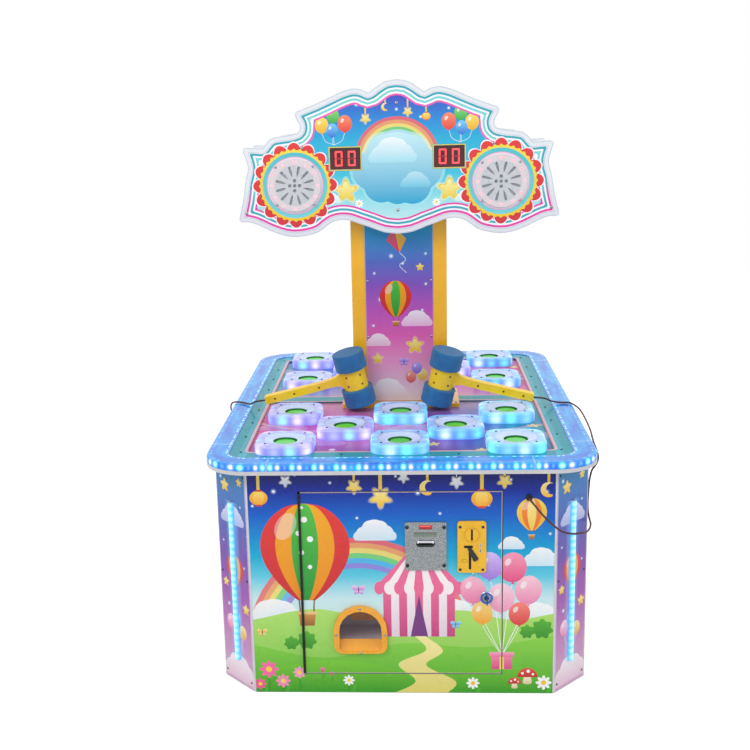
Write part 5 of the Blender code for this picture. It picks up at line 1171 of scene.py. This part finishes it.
# --------------------------------------------------------------------- marquee
COLUMN_TOP, BOARD_FACE = 1.1, 0.108
RUNS = [[(0.0, 0.3225), (0.025, 0.319), (0.046, 0.308), (0.062, 0.2965), (0.07, 0.292)],
    [(0.07, 0.292), (0.088, 0.3005), (0.11, 0.303), (0.138, 0.2955), (0.165, 0.284),
    (0.205, 0.267), (0.24, 0.2545), (0.254, 0.2477), (0.2525, 0.234), (0.2445, 0.219),
    (0.2435, 0.2085), (0.25, 0.1985), (0.275, 0.1925), (0.312, 0.188), (0.328, 0.176),
    (0.34, 0.161)], [(0.34, 0.161), (0.362, 0.1635), (0.3876, 0.164), (0.3905, 0.156),
    (0.384, 0.136), (0.3793, 0.117), (0.3815, 0.099), (0.387, 0.081), (0.391, 0.057),
    (0.395, 0.033), (0.402, 0.005), (0.407, -0.0164), (0.403, -0.0235), (0.385, -0.0235),
    (0.365, -0.029), (0.342, -0.04), (0.318, -0.051), (0.288, -0.061), (0.26, -0.064),
    (0.23, -0.0605), (0.202, -0.052), (0.183, -0.038), (0.166, -0.0273), (0.144, -0.0225),
    (0.1215, -0.025), (0.098, -0.0335), (0.072, -0.0425), (0.036, -0.056), (0.0, -0.0605)]]
corners = []
for run in RUNS:
    corners += [Vector((p.x, p.y)) for p in smooth_line([(x, COLUMN_TOP + z, 0) for x, z in run],
        2)[:-1]]
corners.append(Vector((0.0, COLUMN_TOP - 0.0605)))
half_line = []
for a, b in zip(corners, corners[1:]):
    pieces = max(1, math.ceil((b - a).length / 0.006))
    half_line += [a + (b - a) * (i / pieces) for i in range(pieces)]
half_line.append(corners[-1])


def away_from_edge(point):
    best = 9.0
    for a, b in zip(half_line, half_line[1:]):
        if abs(a.x - point.x) > best + 0.01 or abs(a.y - point.y) > best + 0.01:
            continue
        ab = b - a
        t = min(1.0, max(0.0, (point - a).dot(ab) / max(1e-12, ab.dot(ab))))
        best = min(best, (a + ab * t - point).length)
    return best


offsets = {0.0: [(p.x, p.y) for p in half_line]}
for d in (0.0005, 0.0025, 0.011, 0.013, 0.014, 0.0195, 0.024, 0.0295, 0.034, 0.0385):
    kept = [(0.0, half_line[0].y - d)]
    for i in range(1, len(half_line) - 1):
        ahead = (half_line[i + 1] - half_line[i - 1]).normalized()
        p = half_line[i] + Vector((ahead.y, -ahead.x)) * d
        if p.x > 0.0005 and away_from_edge(p) > 0.985 * d:
            kept.append((p.x, p.y))
    offsets[d] = kept + [(0.0, half_line[-1].y + d)]


def marquee_art(displays):
    sheet = []
    ink_ramp(sheet, -0.41, 0.41, [(1.43, "5a40b4"), (1.385, "3a48c4"), (1.33, "2486d8"),
        (1.27, "22b4dc"), (1.19, "3cc4dc"), (1.13, "8fdfe8"), (1.03, "e2f4f6")])
    for x, z, r in ((-0.03, 1.385, 2), (0.085, 1.375, 2), (-0.1, 1.365, 3), (0.0, 1.35, 2),
            (0.13, 1.35, 2), (-0.14, 1.33, 2), (0.06, 1.33, 2)):
        sparkle(sheet, x, z, 0.0012 * r)
    rainbow(sheet, 0.0, 1.225, 0.108, 0.0085, 0.1, math.pi - 0.2)
    puffs = ((0.0, 0.12, 0.3), (-0.27, 0.02, 0.21), (0.26, 0.03, 0.22), (-0.13, 0.2, 0.2),
        (0.14, 0.19, 0.2), (-0.17, -0.13, 0.19), (0.16, -0.14, 0.2), (0.0, -0.16, 0.18))
    ink(sheet, cloud_loop(0.0, 1.195, 0.252, puffs, 96, False), "e6fafc", "9fe6ee", strength=0.5)
    ink(sheet, cloud_loop(0.0, 1.195, 0.236, puffs, 96, False), "c6eff6", "14a4d0")
    ink(sheet, cloud_loop(-0.012, 1.238, 0.11), "ffffff", "a8e4f2", strength=0.75)
    ink(sheet, cloud_loop(0.045, 1.168, 0.07), "d8f6fb", "6fcfe6", strength=0.6)
    for side in (1, -1):
        foot = (side * 0.158, 1.266)
        for dx, z, r, light, deep in ((-0.028, 1.318, 0.021, "ff8f6a", "e8403a"),
                (0.03, 1.315, 0.02, "fbe36a", "f2b32a"), (0.002, 1.338, 0.019, "8fe07a", "35ad48"),
                (0.004, 1.302, 0.017, "7fd0ff", "2f6fd0")):
            party_balloon(sheet, side * 0.158 + side * dx, z, r, light, deep, foot)
        star(sheet, side * 0.131, 1.15, 0.03, "fdf2a6", "efd04a")
        cloud(sheet, side * 0.172, 1.128, 0.05, "ffffff", "cfeff6", 0.9)
        daisy(sheet, side * 0.098, 1.118, 0.011, "ffffff", "ffd84a")
    for x, drop, r, kind in ((-0.078, 0.054, 0.012, "star"), (0.028, 0.04, 0.011, "star"),
            (0.074, 0.052, 0.011, "lantern"), (-0.028, 0.028, 0.01, "crescent")):
        hanging(sheet, x, 1.392, drop, r, kind)
    for outer, inner, high, low in ((0.0, 0.0385, "fbfbfd", "f8f6fa"),
            (0.0, 0.013, "c9d0da", "c4c8d4"), (0.0025, 0.011, "e6eaf0", "dfe2ea"),
            (0.014, 0.0195, "2fa9bb", "e83fa8"), (0.024, 0.0295, "7fd6d8", "2fa9bb"),
            (0.034, 0.0385, "f05fb2", "e83fa8")):
        loop = offsets[outer] + offsets[inner][::-1]
        for side in (1, -1):
            ink(sheet, [(x * side, z) for x, z in loop], high, low, ((0, 1.165), (0, 1.125)))
    for side in (1, -1):
        x, z = side * SPEAKER_X, SPEAKER_Z
        ink(sheet, lobed(x, z, 0.1105, 16, 0.16, count=160, power=0.35), "fdf6fb")
        ink(sheet, lobed(x, z, 0.107, 16, 0.16, count=160, power=0.35), "e8383a", "d42c34")
        ink(sheet, oval(x, z, 0.0885, count=72), "f6d640", "f2cc30")
        ink(sheet, lobed(x, z, 0.0925, 36, 0.055, count=144), "f8dc48", "f2cc30")
        ink(sheet, oval(x, z, 0.0828, count=64), "4cc4d0", "74d6dc")
        ink(sheet, oval(x, z, 0.0726, count=64), "f4a6d4")
        ink(sheet, oval(x, z, 0.0704, count=64), "f3e8f0")
        if not displays:
            ink(sheet, oval(x, z, 0.066, count=48), "7fd8f2", "2f9fdc")
            daisy(sheet, x, z, 0.052, "ffffff", "ffd84a")
        else:
            a, b = sorted((side * 0.0885, side * 0.1735))
            ink(sheet, box(a, b, 1.2005, 1.2625), "2fa8b4")
            ink(sheet, box(a + 0.001, b - 0.001, 1.2015, 1.261), "f0dc4a", "e2c63a")
    return sheet


board_loop = offsets[0.0005] + [(-x, z) for x, z in offsets[0.0005][-2:0:-1]]
windows = [box(*sorted((side * 0.0919, side * 0.1701)), 1.2039, 1.2591) for side in (1, -1)]
cans = [oval(side * SPEAKER_X, SPEAKER_Z, 0.06, count=48) for side in (1, -1)]
front_print("marquee_print_front", [board_loop], windows + cans, marquee_art(True),
    -BOARD_FACE - LIFT, acrylic_print, "machine")
printed("marquee_print_rear", [board_loop], [], marquee_art(False), (0, BOARD_FACE + LIFT, 0),
    (-1, 0, 0), (0, 0, 1), acrylic_print, "machine")

# Score windows: dark red glass with two lit figures of seven strokes each.
glass = []
ink(glass, box(-0.18, 0.18, 1.2, 1.26), "2a0709", "3a0a0d")
for side in (1, -1):
    for k in (-1, 1):
        cx, cz, w, h, t = side * 0.131 + k * 0.0165, 1.2315, 0.0195, 0.038, 0.0042
        for low, high in ((h / 2 - t, h / 2), (-h / 2, -h / 2 + t)):
            reach = w / 2 - t * 0.3
            ink(glass, box(cx - reach, cx + reach, cz + low, cz + high), "ff4a4f")
        ink(glass, box(cx - w / 2 + t, cx + w / 2 - t, cz - t / 2, cz + t / 2), "6a1a1e")
        for sx in (-1, 1):
            for low, high in ((0.0012, h / 2 - 0.0012), (-h / 2 + 0.0012, -0.0012)):
                a, b = sorted((cx + sx * w / 2, cx + sx * (w / 2 - t)))
                ink(glass, box(a, b, cz + low, cz + high), "ff3f46")
figure_look = print_look("score_glass", rough=0.12, coat=0.6, glow=1.15, waves=0.0, grain=0.02)
front_print("score_windows", [box(*sorted((side * 0.0923, side * 0.1697)), 1.2043, 1.2587)
    for side in (1, -1)], [], glass, -0.105 - LIFT, figure_look, "machine")


# -------------------------------------------------------------------- hardware
def screws(name, items, look, body, radius):
    # Domed heads with a cross, all in one piece: (place, way it faces).
    verts, faces, slots = [], [], []
    for place, facing in items:
        facing = Vector(facing).normalized()
        side = facing.orthogonal().normalized()
        other = facing.cross(side)

        def at(x, y, h):
            return Vector(place) + side * x + other * y + facing * h

        start = len(verts)
        for r, h in ((1.0, 0.0), (0.97, 0.22), (0.72, 0.42), (0.38, 0.54)):
            verts.extend(at(x, y, radius * h) for x, y in oval(0, 0, radius * r, count=12))
        faces += quads(4, 12, start) + [tuple(range(start + 36, start + 48))]
        for turn in (0.4, 0.4 + math.pi / 2):
            c, s = math.cos(turn), math.sin(turn)
            base = len(verts)
            for u, v in box(-0.34, 0.34, -0.08, 0.08):
                verts.append(at(radius * (c * u - s * v), radius * (s * u + c * v), radius * 0.56))
            faces.append(tuple(range(base, base + 4)))
        # The cross takes the second look of a pair, a dark one: painted shade in its recess.
        slots += [0] * 37 + [1] * 2
    mesh_piece(name, verts, faces, look, body, slots=slots, angle=50.0)


def ring_piece(name, outer, inner, back, front, look, body, centre):
    # A flat ring facing the front, its outer edge softened, on a plane of constant Y.
    verts, (cx, cz) = [], centre
    for loop, other, y in ((outer, inner, back), (outer, inner, front + (back - front) * 0.3),
            (outer, inner, front), (inner, outer, front), (inner, outer, back)):
        share = 0.16 if y == front else 0.0
        for p, q in zip(loop, other):
            verts.append((cx + p[0] + (q[0] - p[0]) * share, y, cz + p[1] + (q[1] - p[1]) * share))
    return mesh_piece(name, verts, quads(5, len(outer)), look, body, angle=40.0, turn_out=True)


def stadium(half_long, half_high):
    loop = []
    for side, start in ((1, -math.pi / 2), (-1, math.pi / 2)):
        loop += arc(side * (half_long - half_high), 0.0, half_high, start, math.pi, 10)
    return loop


steel = plain("screw_steel", "a6a9af", 0.16, metal=1.0, vary=0.08, grain=300.0, bump=0.05)
# Dark steel for the screws' crosses and the ticket slot's rim: painted shade.
painted_shade_steel = plain("screw_recess_painted_shade", "26262a", 0.5, metal=0.6)
black_screw = plain("screw_black", "202024", 0.35, metal=0.4, coat=0.2)
red_screw = plain("screw_brown", "6a2a1c", 0.4, metal=0.3)
chrome = plain("chrome", "d4d7dc", 0.1, metal=1.0, vary=0.05, grain=40.0, bump=0.04)
black_plastic = plain("black_plastic", "101114", 0.32, coat=0.2, vary=0.2)
PAIR, DARK_PAIR = (steel, painted_shade_steel), (black_screw, painted_shade_steel)
PLATE_FACE, COUNTER_FACE, BEZEL_FACE = -0.5653, -0.5633, -0.5683
FRONTWARD, UPWARD = (0, -1, 0), (0, 0, 1)


def facing_front(depth, places):
    return [((x, depth, z), FRONTWARD) for x, z in places]


screws("screws_counter",
    facing_front(COUNTER_FACE, ((0.0144, 0.4175), (0.0991, 0.4173), (0.0141, 0.3241),
    (0.0986, 0.324))), DARK_PAIR, "door", 0.0046)
screws("screws_door",
    facing_front(PLATE_FACE, ((0.1357, 0.4187), (0.1874, 0.4186), (0.1355, 0.3148),
    (0.1874, 0.3147))), DARK_PAIR, "door", 0.0034)
screws("screws_outlet",
    facing_front(BEZEL_FACE, ((OUTLET_X, 0.2182), (-0.1545, 0.152), (-0.0409, 0.152),
    (OUTLET_X, 0.1068))), PAIR, "door", 0.0034)
board_places = [(0.0, 1.366), (0.0, 1.1), (-0.3876, 1.099), (0.3876, 1.099)]
screws("screws_marquee", facing_front(-0.1082, board_places + [(-0.2406, 1.261), (0.2406, 1.261)])
    + [((-x, 0.1082, z), (0, 1, 0)) for x, z in board_places], PAIR, "machine", 0.0042)
can_screws = [(sx * SPEAKER_X + dx * 0.0474, SPEAKER_Z + dz * 0.0474)
    for sx in (-1, 1) for dx in (-1, 1) for dz in (-1, 1)]
screws("screws_speaker", facing_front(-0.1165, can_screws), PAIR, "machine", 0.0036)
post_screws = [((x, y * 0.0501, z), (0, y, 0)) for y in (-1, 1) for x in (-0.0835, 0.0835)
    for z in (0.91, 0.76, 1.06, 0.61)]
post_screws += [((x, y, 0.5833), UPWARD) for x, y in ((-0.148, -0.071), (0.148, -0.071),
    (-0.15, 0.045), (0.15, 0.045), (0.0, -0.074), (-0.148, 0.071), (0.148, 0.071), (0.0, 0.074))]
screws("screws_column", post_screws, PAIR, "machine", 0.0032)
screws("screws_border", [((sx * x, sy * y, 0.5773), UPWARD) for sx in (-1, 1) for sy in (-1, 1)
    for x, y in ((0.372, 0.487), (0.378, 0.36), (0.378, 0.235), (0.378, 0.11), (0.29, 0.512),
    (0.135, 0.512))], DARK_PAIR, "machine", 0.003)
screws("screws_pads", [((x + sx * 0.043, y + sy * 0.043, 0.599), UPWARD) for x, y in PADS
    for sx in (-1, 1) for sy in (-1, 1)], DARK_PAIR, "machine", 0.0028)
corner_screws = []
for sx in (-1, 1):
    for sy in (-1, 1):
        away = Vector((sx * 0.087, sy * 0.082, 0)).normalized()
        for t in (0.08, 0.92):
            for z in (0.535, 0.28, 0.02):
                p = Vector((sx * (0.355 + 0.082 * t), sy * (FRONT - 0.087 * t), z)) + away * 0.0002
                corner_screws.append((p, away))
screws("screws_corners", corner_screws, DARK_PAIR, "machine", 0.0028)

for label in SIDES:
    # The ring's face that looks forward is on -Y for one hammer and +Y for the other.
    face_way = -SIDES[label]
    ring_screws = []
    for u in (-1, 1):
        n = (math.sin(u * 0.62), face_way * math.cos(u * 0.62), 0.0)
        ring_screws += [((n[0] * 0.0322, n[1] * 0.0322, w * 0.0125), n) for w in (-1, 1)]
    ring_screws += [((d, face_way * 0.0101, 0.0), (0, face_way, 0)) for d in (0.096, 0.164, 0.217)]
    place, _ = hammer_frame(label)
    turn = place.to_3x3()
    ring_screws = [(place @ Vector(p), turn @ Vector(n)) for p, n in ring_screws]
    screws("screws_hammer_" + label, ring_screws, (red_screw, painted_shade_steel),
        "hammer_%s_body" % label, 0.0028)


# Coin plate, return lever and counter.
def bar(x0, x1, z0, z1):
    r = min(x1 - x0, z1 - z0) / 2 - 0.0001
    return rounded_loop((x1 - x0) / 2, (z1 - z0) / 2, r, 5, (x0 + x1) / 2, (z0 + z1) / 2)


labels = [box(0.179, 0.1838, 0.369, 0.3784), box(0.179, 0.1838, 0.356, 0.3656)]
badge = oval(0.1447, 0.3362, 0.0075, 0.0048)
coin_marks = []
for loop, code in ((box(0.12, 0.2, 0.29, 0.45), "141416"), (labels[0], "cfd6de"),
        (box(0.1802, 0.1826, 0.3704, 0.377), "8fa0b4"), (labels[1], "cfd6de"),
        (box(0.1802, 0.1826, 0.3572, 0.3644), "5a6678"), (badge, "c99a12"),
        (oval(0.1447, 0.3362, 0.006, 0.0035), "e6bb22")):
    ink(coin_marks, loop, code)
front_print("coin_marks", [bar(0.1436, 0.165, 0.3676, 0.374), bar(0.1549, 0.1607, 0.315, 0.36),
    *labels, badge], [], coin_marks, PLATE_FACE - LIFT, film, "door")
# A dark sheet set inside the coin slot: painted shade.
front_print("coin_slot_dark", [box(0.1597, 0.1647, 0.3855, 0.4139)], [], coin_marks, -0.5612, film,
    "door")
LEVER_SIDES, LEVER_TOP = 28, Vector((0.1561, 0.0, 0.3677))
spine = Vector((0.015, 0.0, -0.0275))
spine_long = spine.length
spine.normalize()
verts = []
for y, grow in ((-0.5657, 1.0), (-0.5676, 1.0), (-0.5684, 0.82), (-0.5686, 0.55)):
    for a in angles(LEVER_SIDES):
        # Share of the way down the lever, and how wide it is there.
        share, side = 0.5 - 0.5 * math.cos(a), abs(math.sin(a))
        wide = 0.0
        if side > 0.02:
            wide = math.sin(a) * (0.004 + 0.0028 * share) / max(0.35, side)
        down = spine_long * (0.5 + (share - 0.5) * (1.0 + 0.14 * grow)) + 0.0008
        verts.append(LEVER_TOP + Vector((0, y, 0)) + spine * down
            + Vector((-spine.z, 0, spine.x)) * wide * grow)
ends = [tuple(range(3 * LEVER_SIDES, 4 * LEVER_SIDES)), tuple(reversed(range(LEVER_SIDES)))]
lever_skin = mesh_piece("return_lever_skin", verts, quads(4, LEVER_SIDES) + ends, black_plastic,
    "return_lever", angle=50.0)
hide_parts("coin_return_lever")
DIAL, SLOT, LOCK = (0.1622, 0.3997), (0.05645, 0.3782), (0.196, 0.2438)


def round_edge(name, outer, inner, back, front, look, centre):
    loops = [oval(0, 0, radius, count=32) for radius in (outer, inner)]
    ring_piece(name, *loops, back, front, look, "door", centre)


round_edge("coin_dial_edge", 0.0168, 0.0156, -0.5666, -0.5673,
    plain("coin_dial_yellow", "d8a60e", 0.28, coat=0.3), DIAL)
wire = [on_circle(0.0068, a, 0.1678, 0.2995) for a in angles(24, 1.7)]
tube("coin_wire_ring", [Vector((x, -0.5668, z)) for x, z in wire], 0.0005, 6, chrome, "door")

windows = [box(0.0414, 0.0718, 0.4125, 0.423), box(0.0289, 0.0824, 0.3937, 0.4061)]
meter = []
ink(meter, box(0.0, 0.1, 0.38, 0.44), "20241f")
ink(meter, windows[0], "c4161c", "7a0c12")
ink(meter, box(0.044, 0.0692, 0.4188, 0.4212), "ff6a66")
ink(meter, windows[1], "5f6b62", "7c897e")
for k in range(6):
    cx = 0.035 + k * 0.0083
    for a, b, c, d in ((-0.002, 0.002, 0.4034, 0.4041), (-0.002, 0.002, 0.3957, 0.3964),
            (-0.0024, -0.0017, 0.3962, 0.4036), (0.0017, 0.0024, 0.3962, 0.4036)):
        ink(meter, box(cx + a, cx + b, c, d), "2c332e")
front_print("counter_windows", windows, [], meter, COUNTER_FACE - LIFT,
    print_look("counter_glass", rough=0.15, coat=0.8, glow=0.25, waves=0.0), "door")
# The slot's rim is dark: painted shade around the slot.
ring_piece("ticket_slot_rim", stadium(0.0216, 0.0081), stadium(0.0204, 0.0069), -0.5634, -0.5644,
    painted_shade_steel, "door", SLOT)
lip = ring_piece("ticket_slot_lip", stadium(0.0207, 0.0072), stadium(0.0158, 0.0014), -0.563,
    -0.5656, [chrome, plain("slot_shadow", "1f2a28", 0.3, metal=0.4)], "door", SLOT)
# Painted shade: the lip's faces below a height take the dark slot_shadow look, so only its upper
# faces are chrome.
for face in lip.data.polygons:
    face.material_index = int(face.center.z < 0.3796)
round_edge("lock_ring", 0.0147, 0.0098, -0.5643, -0.5651,
    plain("lock_blue", "1f5fc0", 0.25, coat=0.5, vary=0.1), LOCK)
round_edge("lock_inside", 0.0098, 0.0066, -0.5642, -0.5647,
    plain("lock_steel", "8d9299", 0.2, metal=1.0, vary=0.2), LOCK)
verts = []
for i in range(9):
    a = 0.5 * math.pi * i / 8
    for x in (-0.125, -0.0645):
        verts.append((x, -0.48 + 0.006 * math.cos(a), 0.177 - 0.027 * i / 8 - 0.002 * math.sin(a)))
faces = [(2 * i, 2 * i + 1, 2 * i + 3, 2 * i + 2) for i in range(8)]
mesh_piece("outlet_flap", verts, faces, plain("outlet_flap_brown", "b5702a", 0.35, coat=0.3,
    vary=0.2), "door", angle=60.0)

# Lit tubes: a bright half round over each corner plate's tube.
TUBE_SPAN, TUBE_SIDES = 84, 10
tube_look, tree, shader = new_material("lit_tube")
u, v = parts_of(tree, "UV")[:2]
_, du = from_lamp(tree, u)
glow = blend_colour(tree, spot(tree, 0.0, v, 0.5, 1.0, 0.46), rgb("1f63c8"), rgb("4fc8ff"))
glow = blend_colour(tree, spot(tree, du, v, 0.5, 0.006, 0.34), glow, rgb("d4f6ff"))
feed(shader, {"Base Color": blend_colour(tree, noise(tree, 30.0), rgb("2f86e8"), rgb("54b6f4")),
    "Emission Color": glow, "Emission Strength": 1.0, "Roughness": 0.2,
    "Normal": bumped(tree, noise(tree, 200.0), 0.1, 0.0004)})
levels = [0.0652] + [0.0665 + 0.397 * i / 8 for i in range(9)] + [0.4648]
for name, sx, sy in (("front_left", -1, -1), ("front_right", 1, -1), ("rear_left", -1, 1),
        ("rear_right", 1, 1)):
    away = Vector((sx * 0.087, sy * 0.082, 0)).normalized()
    side = Vector((-away.y, away.x, 0))
    middle = Vector((sx * 0.396, sy * 0.5165, 0))
    verts, uvs = [], []
    for z in levels:
        r = 0.0076 if z in (levels[0], levels[-1]) else 0.0085
        for i in range(TUBE_SIDES + 1):
            a = math.radians(-TUBE_SPAN + 2 * TUBE_SPAN * i / TUBE_SIDES)
            p = middle + away * (r * math.cos(a)) + side * (r * math.sin(a))
            verts.append((p.x, p.y, z))
            uvs.append((z, i / TUBE_SIDES))
    mesh_piece("lit_tube_" + name, verts, quads(len(levels), TUBE_SIDES + 1, closed=False),
        tube_look, "machine", uvs, angle=60.0)

# Speakers: small lamps in the clear ring, and a backing behind the grille's slots.
ring_lamps, tree, shader = new_material("speaker_lamps")
feed(shader, {"Emission Strength": 1.1,
    "Emission Color": blend_colour(tree, noise(tree, 90.0), rgb("ff5a6a"), rgb("ff9aa8")),
    "Base Color": blend_colour(tree, noise(tree, 90.0), rgb("ff8090"), rgb("ffc0c8"))})
verts, faces = [], []
for sx in (-1, 1):
    for a in angles(12):
        cx, cz = on_circle(0.0585, a, sx * SPEAKER_X, SPEAKER_Z)
        start = len(verts)
        for r, h in ((0.003, 0.0), (0.0026, 0.0008), (0.0012, 0.0013)):
            verts.extend((x, -0.1163 - h, z) for x, z in oval(cx, cz, r, count=10))
        faces += quads(3, 10, start) + [tuple(range(start + 20, start + 30))]
mesh_piece("speaker_lamp_dots", verts, faces, ring_lamps, "machine", angle=60.0)
verts, faces = [], []
for sx in (-1, 1):
    start = len(verts)
    verts.append((sx * SPEAKER_X, -0.1118, SPEAKER_Z))
    verts.extend((x, -0.112, z) for x, z in oval(sx * SPEAKER_X, SPEAKER_Z, 0.0515, count=40))
    faces += [(start, start + 1 + i, start + 1 + (i + 1) % 40) for i in range(40)]
mesh_piece("speaker_backing", verts, faces, plain("speaker_backing", "a8adb5", 0.5, vary=0.15,
    grain=150.0), "machine")

# ------------------------------------------------------------ looks of the nodes
paint(plain("shell_board", "b2b1b3", 0.45, vary=0.08), "cabinet_shell", "front_door")
paint(plain("corner_plate", "d5d0da", 0.3, coat=0.3, vary=0.05),
    *["corner_panel_" + n for n in ("front_left", "front_right", "rear_left", "rear_right")])
paint(plain("hinge_black", "141414", 0.35, metal=0.5, coat=0.2, vary=0.2), "hinge_fixed_leaf",
    "hinge_door_leaf")
paint(black_plastic, "coin_return_lever")
paint(plain("gland_black", "17181a", 0.42, vary=0.2), "cord_gland_front", "cord_gland_rear")
# The coin plate's body behind its face is dark.
coin_look = plain("coin_yellow", "efb60a", 0.26, coat=0.3, vary=0.06, grain=30.0)
tree, shader = coin_look.node_tree, coin_look.node_tree.nodes["Principled BSDF"]
recolour(tree, shader, spread(tree, parts_of(tree, "Object")[1], low_in=-0.5553, high_in=-0.5549),
    "33363a")
paint(coin_look, "coin_acceptor")
paint(plain("outlet_yellow", "f0a414", 0.24, coat=0.5, vary=0.07, grain=25.0), "outlet_bezel")
paint(plain("tray_pale", "c9c4d0", 0.35, coat=0.2, vary=0.08, grain=18.0), "outlet_tray")
paint(chrome, "door_lock")
paint(plain("key_blue", "2a4f8c", 0.25, metal=0.7, vary=0.1), "door_key")
paint(plain("column_amber", "f2b213", 0.3, coat=0.35, vary=0.05, grain=12.0), "column_case")
paint(plain("column_panel", "d59ac0", 0.3, vary=0.05), "column_panel_front", "column_panel_rear")
paint(plain("core_white", "dfe4ea", 0.4, vary=0.04, grain=14.0), "marquee_core")
paint(plain("marquee_acrylic", "e9edf2", 0.14, coat=0.6, vary=0.03), "marquee_board_front",
    "marquee_board_rear")
paint(plain("handle_yellow", "fdce0a", 0.36, coat=0.25, vary=0.07, grain=40.0, bump=0.12),
    "hammer_handle_left", "hammer_handle_right")

hammered, tree, shader = new_material("hammered_steel")
coords = socketed(tree, "ShaderNodeTexCoord").outputs["Object"]
cells = socketed(tree, "ShaderNodeTexVoronoi", {"Vector": coords, "Scale": 420.0})
cells = cells.outputs["Distance"]
grey = blend_colour(tree, spread(tree, cells, low_in=0.1), rgb("5c6368"), rgb("adb3b6"))
feed(shader, {"Base Color": grey, "Metallic": 0.85,
    "Roughness": spread(tree, noise(tree, 200.0), 0.28, 0.45),
    "Normal": bumped(tree, cells, 0.7, 0.0012)})
paint(hammered, "ticket_counter")

# The speaker's ring outside the grille is paler and glows a little from its lamps.
grille = plain("speaker_silver", "c9ccd0", 0.34, metal=0.15, coat=0.2, vary=0.06, grain=120.0)
tree, shader = grille.node_tree, grille.node_tree.nodes["Principled BSDF"]
parts = parts_of(tree, "Object")
off_x = less(tree, calc(tree, "ABSOLUTE", parts[0]), SPEAKER_X)
off_z = less(tree, parts[2], SPEAKER_Z)
reach = calc(tree, "POWER", plus(tree, times(tree, off_x, off_x), times(tree, off_z, off_z)), 0.5)
clear = spread(tree, reach, low_in=0.0512, high_in=0.0522)
recolour(tree, shader, clear, "dcd4d8")
feed(shader, {"Emission Color": blend_colour(tree, clear, (0.0, 0.0, 0.0), rgb("7a3a48")),
    "Emission Strength": 0.12})
paint(grille, "speaker_left", "speaker_right")

# Foam: the flat ends of a hammer's head are duller than its side.
foam, tree, shader = new_material("hammer_foam")
flat = spread(tree, calc(tree, "ABSOLUTE", parts_of(tree, "Object")[2]), low_in=0.0722,
    high_in=0.0735)
cloudy = noise(tree, 45.0, 5.0)
side_blue, end_blue = [blend_colour(tree, spread(tree, cloudy), rgb(dark), rgb(light))
    for dark, light in (("1566b0", "2280cc"), ("1a5f94", "2773a6"))]
feed(shader, {"Base Color": blend_colour(tree, flat, side_blue, end_blue),
    "Roughness": spread(tree, cloudy, 0.72, 0.88), "Sheen Weight": 0.15,
    "Normal": bumped(tree, noise(tree, 1500.0), 0.35, 0.0005)})
paint(foam, "hammer_head_left", "hammer_head_right")

# ------------------------------------------------------------------------ floor
# The floor shines a little for the camera, so that it is as white as the
# background and still holds the machine's shadow.
FLOOR_HALF = 6
floor_look, tree, shader = new_material("studio_floor")
camera_ray = socketed(tree, "ShaderNodeLightPath").outputs["Is Camera Ray"]
feed(shader, {"Base Color": blend_colour(tree, noise(tree, 2.0), (0.93,) * 3, (0.96,) * 3),
    "Roughness": 0.9, "Specular IOR Level": 0.0, "Emission Color": (1.0,) * 4,
    "Emission Strength": times(tree, camera_ray, 0.5)})
corners = [(x, y, 0) for x, y in box(-FLOOR_HALF, FLOOR_HALF, -FLOOR_HALF, FLOOR_HALF)]
floor = mesh_piece("studio_floor", corners, [(0, 1, 2, 3)], floor_look, None, angle=0)
floor.location.z = -0.0005
